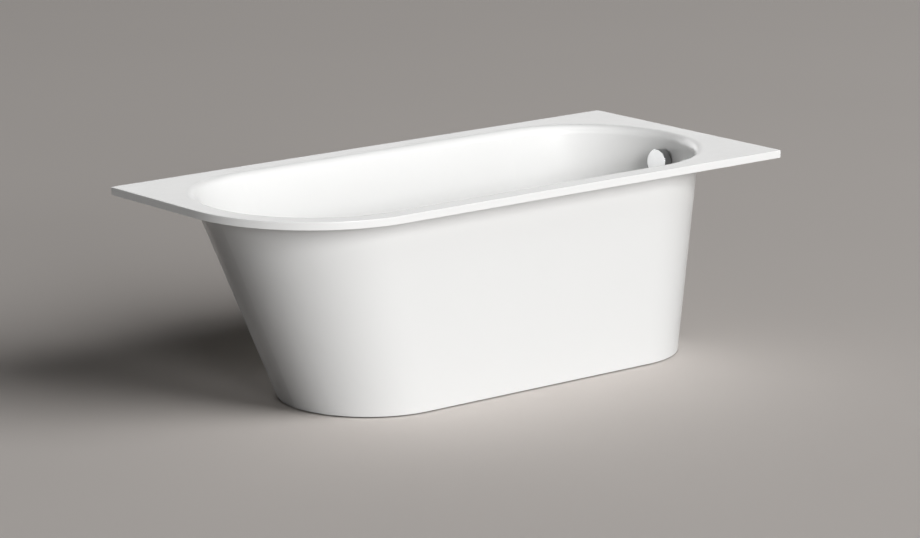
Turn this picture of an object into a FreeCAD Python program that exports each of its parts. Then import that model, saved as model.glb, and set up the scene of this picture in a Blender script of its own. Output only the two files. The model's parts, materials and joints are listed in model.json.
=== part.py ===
import FreeCAD, Part
import math
import os

from FreeCAD import Placement, Rotation, Vector

# The bath stands on the floor at the origin. X runs along its length: the head end with its back rest is
# at -X, the foot end with waste and overflow at +X. The front faces -Y, and the back edge stands against
# a wall at +Y.

# Overall sizes
LENGTH = 1800.0
WIDTH = 800.0
HEIGHT = 610.0
CUT_OVERRUN = 2.0
LENGTH_TOLERANCE = 0.05

# Formed sheet of the rim and basin
SHEET = 5.0
RIM_DROP = 22.0
RIM_ROUND_CORNER = 400.0
RIM_SQUARE_CORNER = 3.0
RIM_EDGE_ROUND = 2.0
RIM_EDGE_BAND = 10.0
DECK_SIDE = 50.0
DECK_HEAD = 54.0
DECK_FOOT = 62.0
LIP_ROUND = 26.0
FLOOR_RISE = 170.0
BASIN_SIDE_SLOPE = 8.0
BASIN_HEAD_SLOPE = 25.0
BASIN_FOOT_SLOPE = 4.0
FLOOR_BLEND = 80.0

# Apron panel, open on the wall sides
PANEL_SHEET = 4.0
PANEL_GAP = 1.5
PANEL_SIDE_SLOPE = 7.3
PANEL_HEAD_SLOPE = 24.1
PANEL_FOOT_SLOPE = 4.15
PANEL_FLOOR_GAP = 4.0
PANEL_TOP_FLANGE = 44.0
PANEL_FOOT_RETURN = 16.0
PANEL_END_CLEARANCE = 11.0
PANEL_BACK_REACH = 200.0

# Rim battens and base board
BATTEN_THICK = 12.0
BATTEN_CLEARANCE = 1.0
BOARD_THICK = 18.0
BOARD_FROM_HEAD = 80.0
BOARD_FROM_WASTE = 58.0
BOARD_FROM_SIDE = 117.0
BOARD_CORNER = 40.0

# Support rails
RAIL_FROM_PANEL = 36.0
RAIL_WIDTH = 40.0
RAIL_HEIGHT = 30.0
RAIL_SHEET = 2.5
RAIL_BEND = 4.0
RAIL_HEAD_INSET = 150.0
RAIL_FOOT_INSET = 60.0

# Levelling feet
FOOT_INSET = 35.0
NUTS_PER_FOOT = 2
STUD_RADIUS = 6.0
STUD_TOP_GAP = 5.0
STUD_CHAMFER = 1.0
STUD_CLEARANCE = 0.1
STUD_HOLE_CLEARANCE = 0.5
NUT_ACROSS = 19.0
NUT_HEIGHT = 10.0
FOOT_RISE = 10.0
PAD_RADIUS = 28.0
PAD_BASE = 6.0
PAD_HEIGHT = 24.0
PAD_HUB_RADIUS = 12.0
PAD_SOCKET = 14.0
PAD_EDGE = 2.0

# Screws into wood and sheet
SCREW_RADIUS = 2.0
SCREW_HEAD_RADIUS = 4.5
SCREW_HEAD_HEIGHT = 2.4
SCREW_CLEARANCE = 0.1
SCREW_BITE = 9.0
RAIL_SCREW_INSET = 25.0
RAIL_SCREW_COUNT = 4
PANEL_SCREW_INSET = 12.0
PANEL_SCREW_FRONT_COUNT = 5
PANEL_SCREW_HEAD_ANGLES = (120.0, 160.0, 200.0, 240.0)
PANEL_SCREW_FOOT_ANGLES = (-65.0, -30.0)

# Lower panel brackets
PANEL_BRACKET_WIDTH = 30.0
PANEL_BRACKET_SHEET = 3.0
PANEL_BRACKET_TOE_GAP = 1.0
PANEL_BRACKET_SCREW_SHARE = 1 / 3

# Wall brackets under the back rim
WALL_BRACKET_WIDTH = 40.0
WALL_BRACKET_SHEET = 2.5
WALL_BRACKET_DROP = 60.0
WALL_BRACKET_LEG = 40.0
WALL_BRACKET_FROM_PANEL = 98.0
WALL_BRACKET_FROM_FOOT = 61.0
WALL_HOLE_RADIUS = 3.5
WALL_HOLE_DROP = 36.0
WALL_SCREW_PITCH = 20.0

# Waste in the basin floor
WASTE_FROM_FOOT = 275.0
WASTE_RECESS_RADIUS = 41.0
WASTE_RECESS_DEPTH = 3.0
WASTE_BOSS_RADIUS = 52.0
WASTE_BOSS_DROP = 8.0
WASTE_HOLE_RADIUS = 26.0
WASTE_SEAL_THICK = 1.5
WASTE_SEAL_RADIUS = 38.0
WASTE_FLANGE_RADIUS = 39.0
WASTE_FLANGE_THICK = 2.5
WASTE_FLANGE_EDGE = 1.0
WASTE_SEAT_RADIUS = 25.0
WASTE_SEAT_DEPTH = 3.0
WASTE_TAIL_RADIUS = 25.0
WASTE_TAIL_WALL = 3.0
WASTE_TAIL_LENGTH = 34.0
WASTE_THREAD_CLEARANCE = 0.2
GUIDE_RADIUS = 7.0
GUIDE_HEIGHT = 10.0
GUIDE_ARM = 3.0
GUIDE_ARM_COUNT = 3

# Waste body under the basin
BODY_SEAL_THICK = 2.0
BODY_FLANGE_RADIUS = 46.0
BODY_FLANGE_THICK = 5.0
CUP_RADIUS = 36.0
CUP_WALL = 3.0
CUP_DEPTH = 50.0
CUP_OUTLET_LENGTH = 28.0
CUP_INLET_LENGTH = 26.0
CUP_INLET_DROP = 20.0
GLAND_RADIUS = 5.0
GLAND_BORE = 1.5
GLAND_LENGTH = 14.0
GLAND_RISE = 11.0

# Pop-up plug and its lever
PLUG_RADIUS = 29.0
PLUG_EDGE = 2.5
PLUG_CROWN = 3.5
PLUG_STAND = 0.3
PLUG_BOSS_RADIUS = 8.0
PLUG_BOSS_DEPTH = 6.0
PLUG_SEAL_THICK = 3.0
PLUG_SEAL_CLEARANCE = 0.5
PLUG_LIFT = 12.0
STEM_RADIUS = 4.0
STEM_CLEARANCE = 0.1
LEVER_ARM = 24.0
LEVER_WIDTH = 10.0
LEVER_TIP_RADIUS = 4.0
LEVER_HUB_RADIUS = 5.5
LEVER_RISE = 12.0
LEVER_GAP = 0.3
PIN_RADIUS = 2.5
PIN_CLEARANCE = 0.05

# Trap and outlet
TRAP_RADIUS = 20.0
TRAP_WALL = 3.0
TRAP_BEND = 36.0
TRAP_STRAIGHT = 6.0
TRAP_REACH = 27.0
TRAP_NUT_WALL = 7.0
TRAP_NUT_LENGTH = 28.0
TRAP_NUT_CLEARANCE = 0.4
TRAP_NUT_RIBS = 12
TRAP_NUT_RIB_RADIUS = 2.5
OUTLET_END = 330.0
SPIGOT_LENGTH = 60.0
SPIGOT_STEP = 0.8

# Overflow at the foot end
OVERFLOW_DEPTH = 86.0
OVERFLOW_HOLE_RADIUS = 24.0
OVERFLOW_FLAT_RADIUS = 42.0
OVERFLOW_BOSS_RADIUS = 46.0
OVERFLOW_BOSS_DROP = 8.0
OVERFLOW_SEAL_THICK = 2.0
OVERFLOW_SEAL_RADIUS = 38.0
OVERFLOW_BODY_FLANGE = 4.0
OVERFLOW_BODY_RADIUS = 30.0
OVERFLOW_BODY_WALL = 3.0
OVERFLOW_BODY_DEPTH = 40.0
OVERFLOW_OUTLET_DROP = 60.0
OVERFLOW_TUBE_RADIUS = 22.0
OVERFLOW_TUBE_WALL = 3.0
OVERFLOW_TUBE_CLEARANCE = 0.2
GRILLE_RADIUS = 32.0
GRILLE_THICK = 2.5
GRILLE_HUB_RADIUS = 8.0
GRILLE_HUB_DEPTH = 10.0
GRILLE_ARM = 4.0
GRILLE_ARM_COUNT = 6
KNOB_RADIUS = 39.0
KNOB_THICK = 28.0
KNOB_STAND = 3.5
KNOB_WALL = 3.0
KNOB_FACE = 4.0
KNOB_EDGE = 1.5
KNOB_HUB_RADIUS = 9.0
SPINDLE_RADIUS = 5.0
SPINDLE_CLEARANCE = 0.05
DRUM_RADIUS = 14.0
DRUM_GROOVE = 2.0
DRUM_THICK = 8.0
DRUM_SIDE_SHARE = 0.25

# Overflow pipe
PIPE_RADIUS = 16.0
PIPE_WALL = 2.5
PIPE_BEND = 80.0
PIPE_NUT_WALL = 5.5
PIPE_NUT_LENGTH = 26.0

# Levels and places that follow from the sizes above
FLOOR_TOP = FLOOR_RISE
FLOOR_UNDER = FLOOR_TOP - SHEET
DECK_UNDER = HEIGHT - SHEET
RIM_UNDER = HEIGHT - RIM_DROP
BATTEN_UNDER = DECK_UNDER - BATTEN_THICK
BOARD_UNDER = FLOOR_UNDER - BOARD_THICK
RAIL_UNDER = BOARD_UNDER - RAIL_HEIGHT


def lip_run(slope):
    """Width of the rolled lip on the deck, for a wall that leans by slope degrees."""
    return LIP_ROUND * math.tan(math.radians((90.0 - slope) / 2))


def lean(slope, drop):
    """Sideways run of a wall that leans by slope degrees over a drop."""
    return drop * math.tan(math.radians(slope))


def across(slope, thickness):
    """Level width of a leaning wall of the given thickness."""
    return thickness / math.cos(math.radians(slope))


MOUTH_RADIUS = WIDTH / 2 - DECK_SIDE - lip_run(BASIN_SIDE_SLOPE)
MOUTH_HEAD = -LENGTH / 2 + DECK_HEAD + lip_run(BASIN_HEAD_SLOPE)
MOUTH_FOOT = LENGTH / 2 - DECK_FOOT - lip_run(BASIN_FOOT_SLOPE)


def basin_section(z, grow):
    """Head end, foot end and half width of the basin at height z, grown outwards by a wall."""
    drop = HEIGHT - z
    head = MOUTH_HEAD + lean(BASIN_HEAD_SLOPE, drop) - across(BASIN_HEAD_SLOPE, grow)
    foot = MOUTH_FOOT - lean(BASIN_FOOT_SLOPE, drop) + across(BASIN_FOOT_SLOPE, grow)
    radius = MOUTH_RADIUS - lean(BASIN_SIDE_SLOPE, drop) + across(BASIN_SIDE_SLOPE, grow)
    return head, foot, radius


def panel_section(z, grow):
    """Head end, foot end and half width of the apron's inner face at height z, grown outwards."""
    head, foot, radius = basin_section(RIM_UNDER, SHEET)
    drop = RIM_UNDER - z
    head = head - PANEL_GAP + lean(PANEL_HEAD_SLOPE, drop) - across(PANEL_HEAD_SLOPE, grow)
    foot = foot + PANEL_GAP - lean(PANEL_FOOT_SLOPE, drop) + across(PANEL_FOOT_SLOPE, grow)
    radius = radius + PANEL_GAP - lean(PANEL_SIDE_SLOPE, drop) + across(PANEL_SIDE_SLOPE, grow)
    return head, foot, radius


def widened(section, margin):
    """A section moved outwards by the same margin all round."""
    head, foot, radius = section
    return head - margin, foot + margin, radius + margin


def panel_reach(x):
    """Least half width inside the apron's foot across a bracket that stands at x."""
    head, foot, radius = panel_section(PANEL_FLOOR_GAP + PANEL_SHEET, 0)
    reaches = []
    for side in (x - PANEL_BRACKET_WIDTH / 2, x + PANEL_BRACKET_WIDTH / 2):
        past = max(head + radius - side, side - foot + radius, 0)
        reaches.append(math.sqrt(radius ** 2 - past ** 2))
    return min(reaches)


FLOOR_HEAD, FLOOR_FOOT, FLOOR_RADIUS = basin_section(FLOOR_TOP, 0)
PANEL_TOP_HEAD, PANEL_TOP_FOOT, PANEL_TOP_RADIUS = panel_section(BATTEN_UNDER, PANEL_SHEET)
PANEL_BACK_END = PANEL_TOP_HEAD + PANEL_TOP_RADIUS + PANEL_BACK_REACH
BATTEN_HEAD_END = -LENGTH / 2 + DECK_HEAD + WIDTH / 2 - DECK_SIDE
BATTEN_FOOT_END = LENGTH / 2 - DECK_FOOT - WIDTH / 2 + DECK_SIDE
WASTE_X = FLOOR_FOOT - WASTE_FROM_FOOT
BOARD_HEAD = FLOOR_HEAD + BOARD_FROM_HEAD
BOARD_FOOT = WASTE_X - WASTE_BOSS_RADIUS - BOARD_FROM_WASTE
BOARD_SIDE = FLOOR_RADIUS - BOARD_FROM_SIDE
RAIL_PLACES = {"head": BOARD_HEAD + RAIL_HEAD_INSET, "foot": BOARD_FOOT - RAIL_FOOT_INSET}
RAIL_END = min(panel_reach(x) for x in RAIL_PLACES.values()) - RAIL_FROM_PANEL
FOOT_SIDES = {"front": FOOT_INSET - RAIL_END, "back": RAIL_END - FOOT_INSET}
BODY_TOP = FLOOR_UNDER - WASTE_BOSS_DROP - BODY_SEAL_THICK
CUP_TOP = BODY_TOP - BODY_FLANGE_THICK
CUP_UNDER = CUP_TOP - CUP_DEPTH
CUP_FLOOR = CUP_UNDER + CUP_WALL
TRAP_TOP = CUP_UNDER - CUP_OUTLET_LENGTH
INLET_Z = CUP_TOP - CUP_INLET_DROP
INLET_END = WASTE_X + CUP_RADIUS + CUP_INLET_LENGTH
PIVOT_Z = CUP_FLOOR + LEVER_RISE
PIVOT_X = WASTE_X - LEVER_ARM
LEVER_SWING = math.degrees(math.asin(PLUG_LIFT / 2 / LEVER_ARM))
TAIL_TOP = FLOOR_TOP - WASTE_RECESS_DEPTH + WASTE_SEAL_THICK
TAIL_END = TAIL_TOP - WASTE_TAIL_LENGTH
FLANGE_TOP = TAIL_TOP + WASTE_FLANGE_THICK
OVERFLOW_Z = HEIGHT - OVERFLOW_DEPTH
OVERFLOW_X = basin_section(OVERFLOW_Z, 0)[1]
OVERFLOW_TURN = Rotation(Vector(0, 1, 0), BASIN_FOOT_SLOPE - 90.0)
OVERFLOW_PLACE = Placement(Vector(OVERFLOW_X, 0, OVERFLOW_Z), OVERFLOW_TURN)
OVERFLOW_BODY_TOP = -OVERFLOW_BOSS_DROP - OVERFLOW_SEAL_THICK
OVERFLOW_BODY_END = OVERFLOW_BODY_TOP - OVERFLOW_BODY_FLANGE - OVERFLOW_BODY_DEPTH
OVERFLOW_OUTLET_Z = OVERFLOW_BODY_END + OVERFLOW_BODY_WALL + PIPE_RADIUS
WALL_BRACKET_PLACES = {
    "head": PANEL_BACK_END + WALL_BRACKET_FROM_PANEL,
    "foot": BATTEN_FOOT_END - WALL_BRACKET_FROM_FOOT,
}


def quarter(centre, radius, start, z):
    """Quarter circle about a centre on the plan, from a start angle in degrees, at height z."""
    angles = [math.radians(start + turn) for turn in (0.0, 45.0, 90.0)]
    points = [
        Vector(centre[0] + radius * math.cos(angle), centre[1] + radius * math.sin(angle), z)
        for angle in angles
    ]
    return Part.Arc(*points).toShape()


def stadium(section, z):
    """Closed outline with two straight sides and two half-round ends, at height z."""
    head, foot, radius = section
    head_centre = (head + radius, 0)
    foot_centre = (foot - radius, 0)
    front = Part.makeLine(Vector(head_centre[0], -radius, z), Vector(foot_centre[0], -radius, z))
    back = Part.makeLine(Vector(foot_centre[0], radius, z), Vector(head_centre[0], radius, z))
    return Part.Wire([
        front,
        quarter(foot_centre, radius, 270.0, z),
        quarter(foot_centre, radius, 0.0, z),
        back,
        quarter(head_centre, radius, 90.0, z),
        quarter(head_centre, radius, 180.0, z),
    ])


def rim_outline(inset, z):
    """Plan of the rim: three square corners and one large round one at the front of the head end."""
    head = -LENGTH / 2 + inset
    foot = LENGTH / 2 - inset
    front = -WIDTH / 2 + inset
    back = WIDTH / 2 - inset
    radius = RIM_ROUND_CORNER - inset
    centre = (head + radius, front + radius)
    corners = [
        Vector(head, centre[1], z),
        Vector(head, back, z),
        Vector(foot, back, z),
        Vector(foot, front, z),
        Vector(centre[0], front, z),
    ]
    sides = [Part.makeLine(start, end) for start, end in zip(corners, corners[1:])]
    return Part.Wire(Part.__sortEdges__(sides + [quarter(centre, radius, 180.0, z)]))


def slab(outline, height):
    """Solid of a level outline, raised by a height."""
    return Part.Face(outline).extrude(Vector(0, 0, height))


def block(low, high):
    """Box between two opposite corners."""
    return Part.makeBox(high[0] - low[0], high[1] - low[1], high[2] - low[2], Vector(*low))


def drum(radius, low, high, centre=(0, 0)):
    """Upright cylinder between two heights."""
    return Part.makeCylinder(radius, high - low, Vector(centre[0], centre[1], low))


def sleeve(outer, inner, low, high, centre=(0, 0)):
    """Upright tube between two heights."""
    bore = drum(inner, low - CUT_OVERRUN, high + CUT_OVERRUN, centre)
    return drum(outer, low, high, centre).cut(bore)


def turned(profile, centre=(0, 0)):
    """Solid turned about an upright axis from a closed profile of radius and height pairs."""
    points = [Vector(radius, 0, z) for radius, z in profile]
    face = Part.Face(Part.makePolygon(points + points[:1]))
    solid = face.revolve(Vector(0, 0, 0), Vector(0, 0, 1), 360)
    return solid.translated(Vector(centre[0], centre[1], 0))


def rod(start, end, radius):
    """Cylinder from one point to another."""
    axis = end - start
    return Part.makeCylinder(radius, axis.Length, start, axis)


def bent_path(points, bend):
    """Wire of straight runs through the points, with a tangent arc of one radius at each corner."""
    edges = []
    here = points[0]
    for before, corner, after in zip(points, points[1:], points[2:]):
        arrive = (corner - before).normalize()
        leave = (after - corner).normalize()
        half_turn = arrive.getAngle(leave) / 2
        reach = bend * math.tan(half_turn)
        inwards = (leave - arrive).normalize()
        crown = corner + inwards * (bend / math.cos(half_turn) - bend)
        start = corner - arrive * reach
        end = corner + leave * reach
        if (start - here).Length > LENGTH_TOLERANCE:
            edges.append(Part.makeLine(here, start))
        edges.append(Part.Arc(start, crown, end).toShape())
        here = end
    edges.append(Part.makeLine(here, points[-1]))
    return Part.Wire(edges)


def swept(path, start, towards, radius):
    """Round bar of one radius along a path."""
    ring = Part.Wire(Part.makeCircle(radius, start, towards))
    return path.makePipeShell([ring], True, False)


def hollow_pipe(points, bend, radius, wall):
    """Pipe along straight runs and tangent arcs."""
    path = bent_path(points, bend)
    towards = points[1] - points[0]
    outside = swept(path, points[0], towards, radius)
    return outside.cut(swept(path, points[0], towards, radius - wall))


def edges_at(shape, z, inside):
    """Edges that lie level at height z, on the basin's mouth or else on the rim's outer edge."""
    found = []
    for edge in shape.Edges:
        box = edge.optimalBoundingBox()
        level = abs(box.ZMin - z) < LENGTH_TOLERANCE and abs(box.ZMax - z) < LENGTH_TOLERANCE
        outer = (max(-box.XMin, box.XMax) > LENGTH / 2 - RIM_EDGE_BAND
                 or max(-box.YMin, box.YMax) > WIDTH / 2 - RIM_EDGE_BAND)
        if level and outer != inside:
            found.append(edge)
    return found


def bowl(grow, bottom, top):
    """Basin form from its floor to a higher level, with a wide blend round the floor."""
    form = Part.makeLoft([
        stadium(basin_section(bottom, grow), bottom),
        stadium(basin_section(top, grow), top),
    ], True, True)
    return form.makeFillet(FLOOR_BLEND + grow, edges_at(form, bottom, True))


def screw():
    """Pan-head screw that stands on the origin with its point up; its head hangs below."""
    head = Part.makeCone(SCREW_HEAD_RADIUS - SCREW_HEAD_HEIGHT / 2, SCREW_HEAD_RADIUS, SCREW_HEAD_HEIGHT,
                         Vector(0, 0, -SCREW_HEAD_HEIGHT))
    return head.fuse(drum(SCREW_RADIUS, 0, SCREW_BITE)).removeSplitter()


def pilot(thickness):
    """Hole for a screw that starts at the origin and passes a sheet of one thickness into wood."""
    return drum(SCREW_RADIUS + SCREW_CLEARANCE, -thickness - CUT_OVERRUN, SCREW_BITE + SCREW_CLEARANCE)


def placed(shape, spots):
    """Copies of a shape at each of the spots."""
    return [shape.translated(spot) for spot in spots]


def hexagon_nut(bore, low, centre):
    """Hexagon nut of the levelling studs."""
    corner = NUT_ACROSS / 2 / math.cos(math.radians(30.0))
    points = [
        Vector(centre[0] + corner * math.cos(math.radians(angle)),
               centre[1] + corner * math.sin(math.radians(angle)), low)
        for angle in range(0, 361, 60)
    ]
    nut = slab(Part.makePolygon(points), NUT_HEIGHT)
    return nut.cut(drum(bore, low - CUT_OVERRUN, low + NUT_HEIGHT + CUT_OVERRUN, centre))


def grip_nut(inner, wall, length):
    """Round union nut along Z from the origin, with grip ribs round it."""
    outer = inner + wall
    nut = sleeve(outer, inner, 0, length)
    for index in range(TRAP_NUT_RIBS):
        angle = 2 * math.pi * index / TRAP_NUT_RIBS
        centre = (outer * math.cos(angle), outer * math.sin(angle))
        nut = nut.fuse(drum(TRAP_NUT_RIB_RADIUS, 0, length, centre))
    return nut.cut(drum(inner, -CUT_OVERRUN, length + CUT_OVERRUN)).removeSplitter()


def at_overflow(shape):
    """Moves a shape made about the overflow's own axis to the foot-end wall."""
    moved = shape.copy()
    moved.Placement = OVERFLOW_PLACE.multiply(shape.Placement)
    return moved


def overflow_point(up, side, out):
    """Point given up the wall, across it and out of it, at the overflow."""
    return OVERFLOW_PLACE.multVec(Vector(up, side, out))


def panel_screw_spots():
    """Places of the screws through the apron's top flange."""
    radius = PANEL_TOP_RADIUS + PANEL_TOP_FLANGE - PANEL_SCREW_INSET
    head_x = PANEL_TOP_HEAD + PANEL_TOP_RADIUS
    foot_x = PANEL_TOP_FOOT - PANEL_TOP_RADIUS
    step = (foot_x - head_x) / PANEL_SCREW_FRONT_COUNT
    spots = [Vector(head_x + step * (index + 0.5), -radius, BATTEN_UNDER)
             for index in range(PANEL_SCREW_FRONT_COUNT)]
    for centre_x, angles in ((head_x, PANEL_SCREW_HEAD_ANGLES), (foot_x, PANEL_SCREW_FOOT_ANGLES)):
        for angle in angles:
            turn = math.radians(angle)
            spots.append(Vector(centre_x + radius * math.cos(turn), radius * math.sin(turn), BATTEN_UNDER))
    return spots


def rail_screw_spots(x):
    """Places of the screws that hold one rail to the board."""
    last = BOARD_SIDE - RAIL_SCREW_INSET
    pitch = last * 2 / (RAIL_SCREW_COUNT - 1)
    return [Vector(x, pitch * index - last, BOARD_UNDER) for index in range(RAIL_SCREW_COUNT)]


def wall_screw_spots(x):
    """Places of the two screws that hold one wall bracket to the back batten."""
    y = WIDTH / 2 - SHEET - WALL_BRACKET_LEG / 2
    return [Vector(x + side * WALL_SCREW_PITCH / 2, y, BATTEN_UNDER) for side in (-1, 1)]


def bath_shell():
    """Deck with its turned-down edge and rolled lip, the basin, and the seats of waste and overflow."""
    shell = slab(rim_outline(0, DECK_UNDER), SHEET)
    shell = shell.fuse(bowl(SHEET, FLOOR_UNDER, HEIGHT - SHEET / 2)).removeSplitter()
    shell = shell.makeFillet(LIP_ROUND - SHEET, edges_at(shell, DECK_UNDER, True))
    shell = shell.cut(bowl(0, FLOOR_TOP, HEIGHT + CUT_OVERRUN))
    shell = shell.makeFillet(LIP_ROUND, edges_at(shell, HEIGHT, True))
    edge = slab(rim_outline(0, RIM_UNDER), RIM_DROP - SHEET / 2)
    edge = edge.cut(slab(rim_outline(SHEET, RIM_UNDER - CUT_OVERRUN), RIM_DROP + CUT_OVERRUN))
    shell = shell.fuse(edge).removeSplitter()
    upright = [item for item in shell.Edges
               if len(item.Vertexes) == 2
               and abs(item.Length - RIM_DROP) < LENGTH_TOLERANCE
               and abs(item.Vertexes[0].Z - item.Vertexes[1].Z) > RIM_DROP / 2
               and abs(item.Vertexes[0].Point[0]) > LENGTH / 2 - SHEET / 2
               and abs(item.Vertexes[0].Point[1]) > WIDTH / 2 - SHEET / 2]
    shell = shell.makeFillet(RIM_SQUARE_CORNER, upright)
    shell = shell.makeFillet(RIM_EDGE_ROUND, edges_at(shell, HEIGHT, False))
    return with_overflow_seat(with_waste_seat(shell))


def with_waste_seat(shell):
    """Adds the boss, recess and hole of the waste to the basin floor."""
    centre = (WASTE_X, 0)
    boss_under = FLOOR_UNDER - WASTE_BOSS_DROP
    recess_floor = FLOOR_TOP - WASTE_RECESS_DEPTH
    shell = shell.fuse(drum(WASTE_BOSS_RADIUS, boss_under, FLOOR_TOP - SHEET / 2, centre))
    shell = shell.cut(drum(WASTE_RECESS_RADIUS, recess_floor, FLOOR_TOP + CUT_OVERRUN, centre))
    hole = drum(WASTE_HOLE_RADIUS, boss_under - CUT_OVERRUN, FLOOR_TOP, centre)
    return shell.cut(hole).removeSplitter()


def with_overflow_seat(shell):
    """Adds the flat, boss and hole of the overflow to the foot-end wall."""
    boss = at_overflow(drum(OVERFLOW_BOSS_RADIUS, -OVERFLOW_BOSS_DROP, 0))
    boss = boss.cut(bowl(0, FLOOR_TOP, HEIGHT + CUT_OVERRUN))
    shell = shell.fuse(boss)
    shell = shell.cut(at_overflow(drum(OVERFLOW_FLAT_RADIUS, 0, OVERFLOW_FLAT_RADIUS / 2)))
    hole = drum(OVERFLOW_HOLE_RADIUS, -OVERFLOW_BOSS_DROP - CUT_OVERRUN, CUT_OVERRUN)
    return shell.cut(at_overflow(hole)).removeSplitter()


def apron_panel():
    """Tapered oval panel from the rim to the floor, cut away on the wall sides."""
    floor = PANEL_FLOOR_GAP
    outside = [stadium(panel_section(z, PANEL_SHEET), z) for z in (floor, BATTEN_UNDER)]
    inside = [stadium(panel_section(z, 0), z) for z in (floor - CUT_OVERRUN, BATTEN_UNDER + CUT_OVERRUN)]
    hollow = Part.makeLoft(inside, True, True)
    flange_section = widened(panel_section(BATTEN_UNDER, PANEL_SHEET), PANEL_TOP_FLANGE)
    flange = slab(stadium(flange_section, BATTEN_UNDER - PANEL_SHEET), PANEL_SHEET)
    panel = Part.makeLoft(outside, True, True).fuse(flange).cut(hollow)
    foot_section = panel_section(floor, PANEL_SHEET / 2)
    foot = slab(stadium(foot_section, floor), PANEL_SHEET)
    opening = slab(stadium(widened(foot_section, -PANEL_FOOT_RETURN), floor - CUT_OVERRUN),
                   PANEL_SHEET + CUT_OVERRUN * 2)
    panel = panel.fuse(foot.cut(opening))
    for low_x, low_y in ((PANEL_BACK_END, 0),
                         (PANEL_TOP_FOOT - PANEL_TOP_RADIUS, -OVERFLOW_BOSS_RADIUS - PANEL_END_CLEARANCE)):
        panel = panel.cut(block((low_x, low_y, 0), (LENGTH / 2, WIDTH / 2, HEIGHT)))
    for hole in placed(pilot(PANEL_SHEET), panel_screw_spots()):
        panel = panel.cut(hole)
    for x in RAIL_PLACES.values():
        panel = panel.cut(pilot(PANEL_SHEET).translated(bracket_toe(x)))
    return panel.removeSplitter()


def rim_battens():
    """Four flat battens that fill the deck between its turned-down edge and the basin."""
    mouth = (-LENGTH / 2 + DECK_HEAD, LENGTH / 2 - DECK_FOOT, WIDTH / 2 - DECK_SIDE)
    head_x = BATTEN_HEAD_END
    foot_x = BATTEN_FOOT_END
    ring = slab(rim_outline(SHEET, BATTEN_UNDER), BATTEN_THICK)
    ring = ring.cut(slab(stadium(widened(mouth, BATTEN_CLEARANCE), BATTEN_UNDER), BATTEN_THICK))
    for hole in placed(pilot(PANEL_SHEET), panel_screw_spots()):
        ring = ring.cut(hole)
    for x in WALL_BRACKET_PLACES.values():
        for hole in placed(pilot(WALL_BRACKET_SHEET), wall_screw_spots(x)):
            ring = ring.cut(hole)
    regions = {
        "rim_batten_head": ((-LENGTH / 2, -WIDTH / 2), (head_x, WIDTH / 2)),
        "rim_batten_front": ((head_x, -WIDTH / 2), (foot_x, 0)),
        "rim_batten_back": ((head_x, 0), (foot_x, WIDTH / 2)),
        "rim_batten_foot": ((foot_x, -WIDTH / 2), (LENGTH / 2, WIDTH / 2)),
    }
    return {name: ring.common(block((*low, BATTEN_UNDER), (*high, DECK_UNDER)))
            for name, (low, high) in regions.items()}


def base_board():
    """Stiffening board under the basin floor, with round corners and pilot holes for the rails."""
    board = block((BOARD_HEAD, -BOARD_SIDE, BOARD_UNDER), (BOARD_FOOT, BOARD_SIDE, FLOOR_UNDER))
    upright = [edge for edge in board.Edges if edge.BoundBox.ZLength > BOARD_THICK / 2]
    board = board.makeFillet(BOARD_CORNER, upright)
    for x in RAIL_PLACES.values():
        for hole in placed(pilot(RAIL_SHEET), rail_screw_spots(x)):
            board = board.cut(hole)
    return board


def support_rail(x):
    """Folded steel tray across the bath, open below, with holes for studs and screws."""
    half_width = RAIL_WIDTH / 2
    tray = block((x - half_width, -RAIL_END, RAIL_UNDER), (x + half_width, RAIL_END, BOARD_UNDER))
    folds = [edge for edge in tray.Edges
             if edge.BoundBox.ZMin > BOARD_UNDER - RAIL_SHEET or edge.BoundBox.ZLength > RAIL_HEIGHT / 2]
    tray = tray.makeFillet(RAIL_BEND, folds)
    inside = block((x - half_width + RAIL_SHEET, RAIL_SHEET - RAIL_END, RAIL_UNDER - CUT_OVERRUN),
                   (x + half_width - RAIL_SHEET, RAIL_END - RAIL_SHEET, BOARD_UNDER - RAIL_SHEET))
    tray = tray.cut(inside)
    for y in FOOT_SIDES.values():
        hole = drum(STUD_RADIUS + STUD_HOLE_CLEARANCE, RAIL_UNDER, BOARD_UNDER + CUT_OVERRUN, (x, y))
        tray = tray.cut(hole)
    for hole in placed(pilot(RAIL_SHEET), rail_screw_spots(x)):
        tray = tray.cut(hole)
    end_hole = rod(Vector(x, -RAIL_END - CUT_OVERRUN, bracket_screw_z()),
                   Vector(x, RAIL_SHEET + CUT_OVERRUN - RAIL_END, bracket_screw_z()),
                   SCREW_RADIUS + SCREW_CLEARANCE)
    return tray.cut(end_hole)


def rail_screws():
    """Screws from both rails up into the board, their heads inside the trays."""
    drop = Vector(0, 0, -RAIL_SHEET)
    return Part.makeCompound([screw().translated(spot + drop)
                              for x in RAIL_PLACES.values() for spot in rail_screw_spots(x)])


def foot_nuts():
    """Fixed nut and lock nut of each levelling stud, under the rail."""
    bore = STUD_RADIUS + STUD_CLEARANCE
    top = BOARD_UNDER - RAIL_SHEET
    nuts = []
    for x in RAIL_PLACES.values():
        for y in FOOT_SIDES.values():
            for index in range(NUTS_PER_FOOT):
                nuts.append(hexagon_nut(bore, top - NUT_HEIGHT * (index + 1), (x, y)))
    return Part.makeCompound(nuts)


def foot_stud(x, y):
    """Levelling stud from the pad's socket up through the rail."""
    top = FLOOR_UNDER - STUD_TOP_GAP - FOOT_RISE
    bottom = PAD_HEIGHT - PAD_SOCKET
    return turned([
        (0, bottom),
        (STUD_RADIUS - STUD_CHAMFER, bottom),
        (STUD_RADIUS, bottom + STUD_CHAMFER),
        (STUD_RADIUS, top - STUD_CHAMFER),
        (STUD_RADIUS - STUD_CHAMFER, top),
        (0, top),
    ], (x, y))


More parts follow.
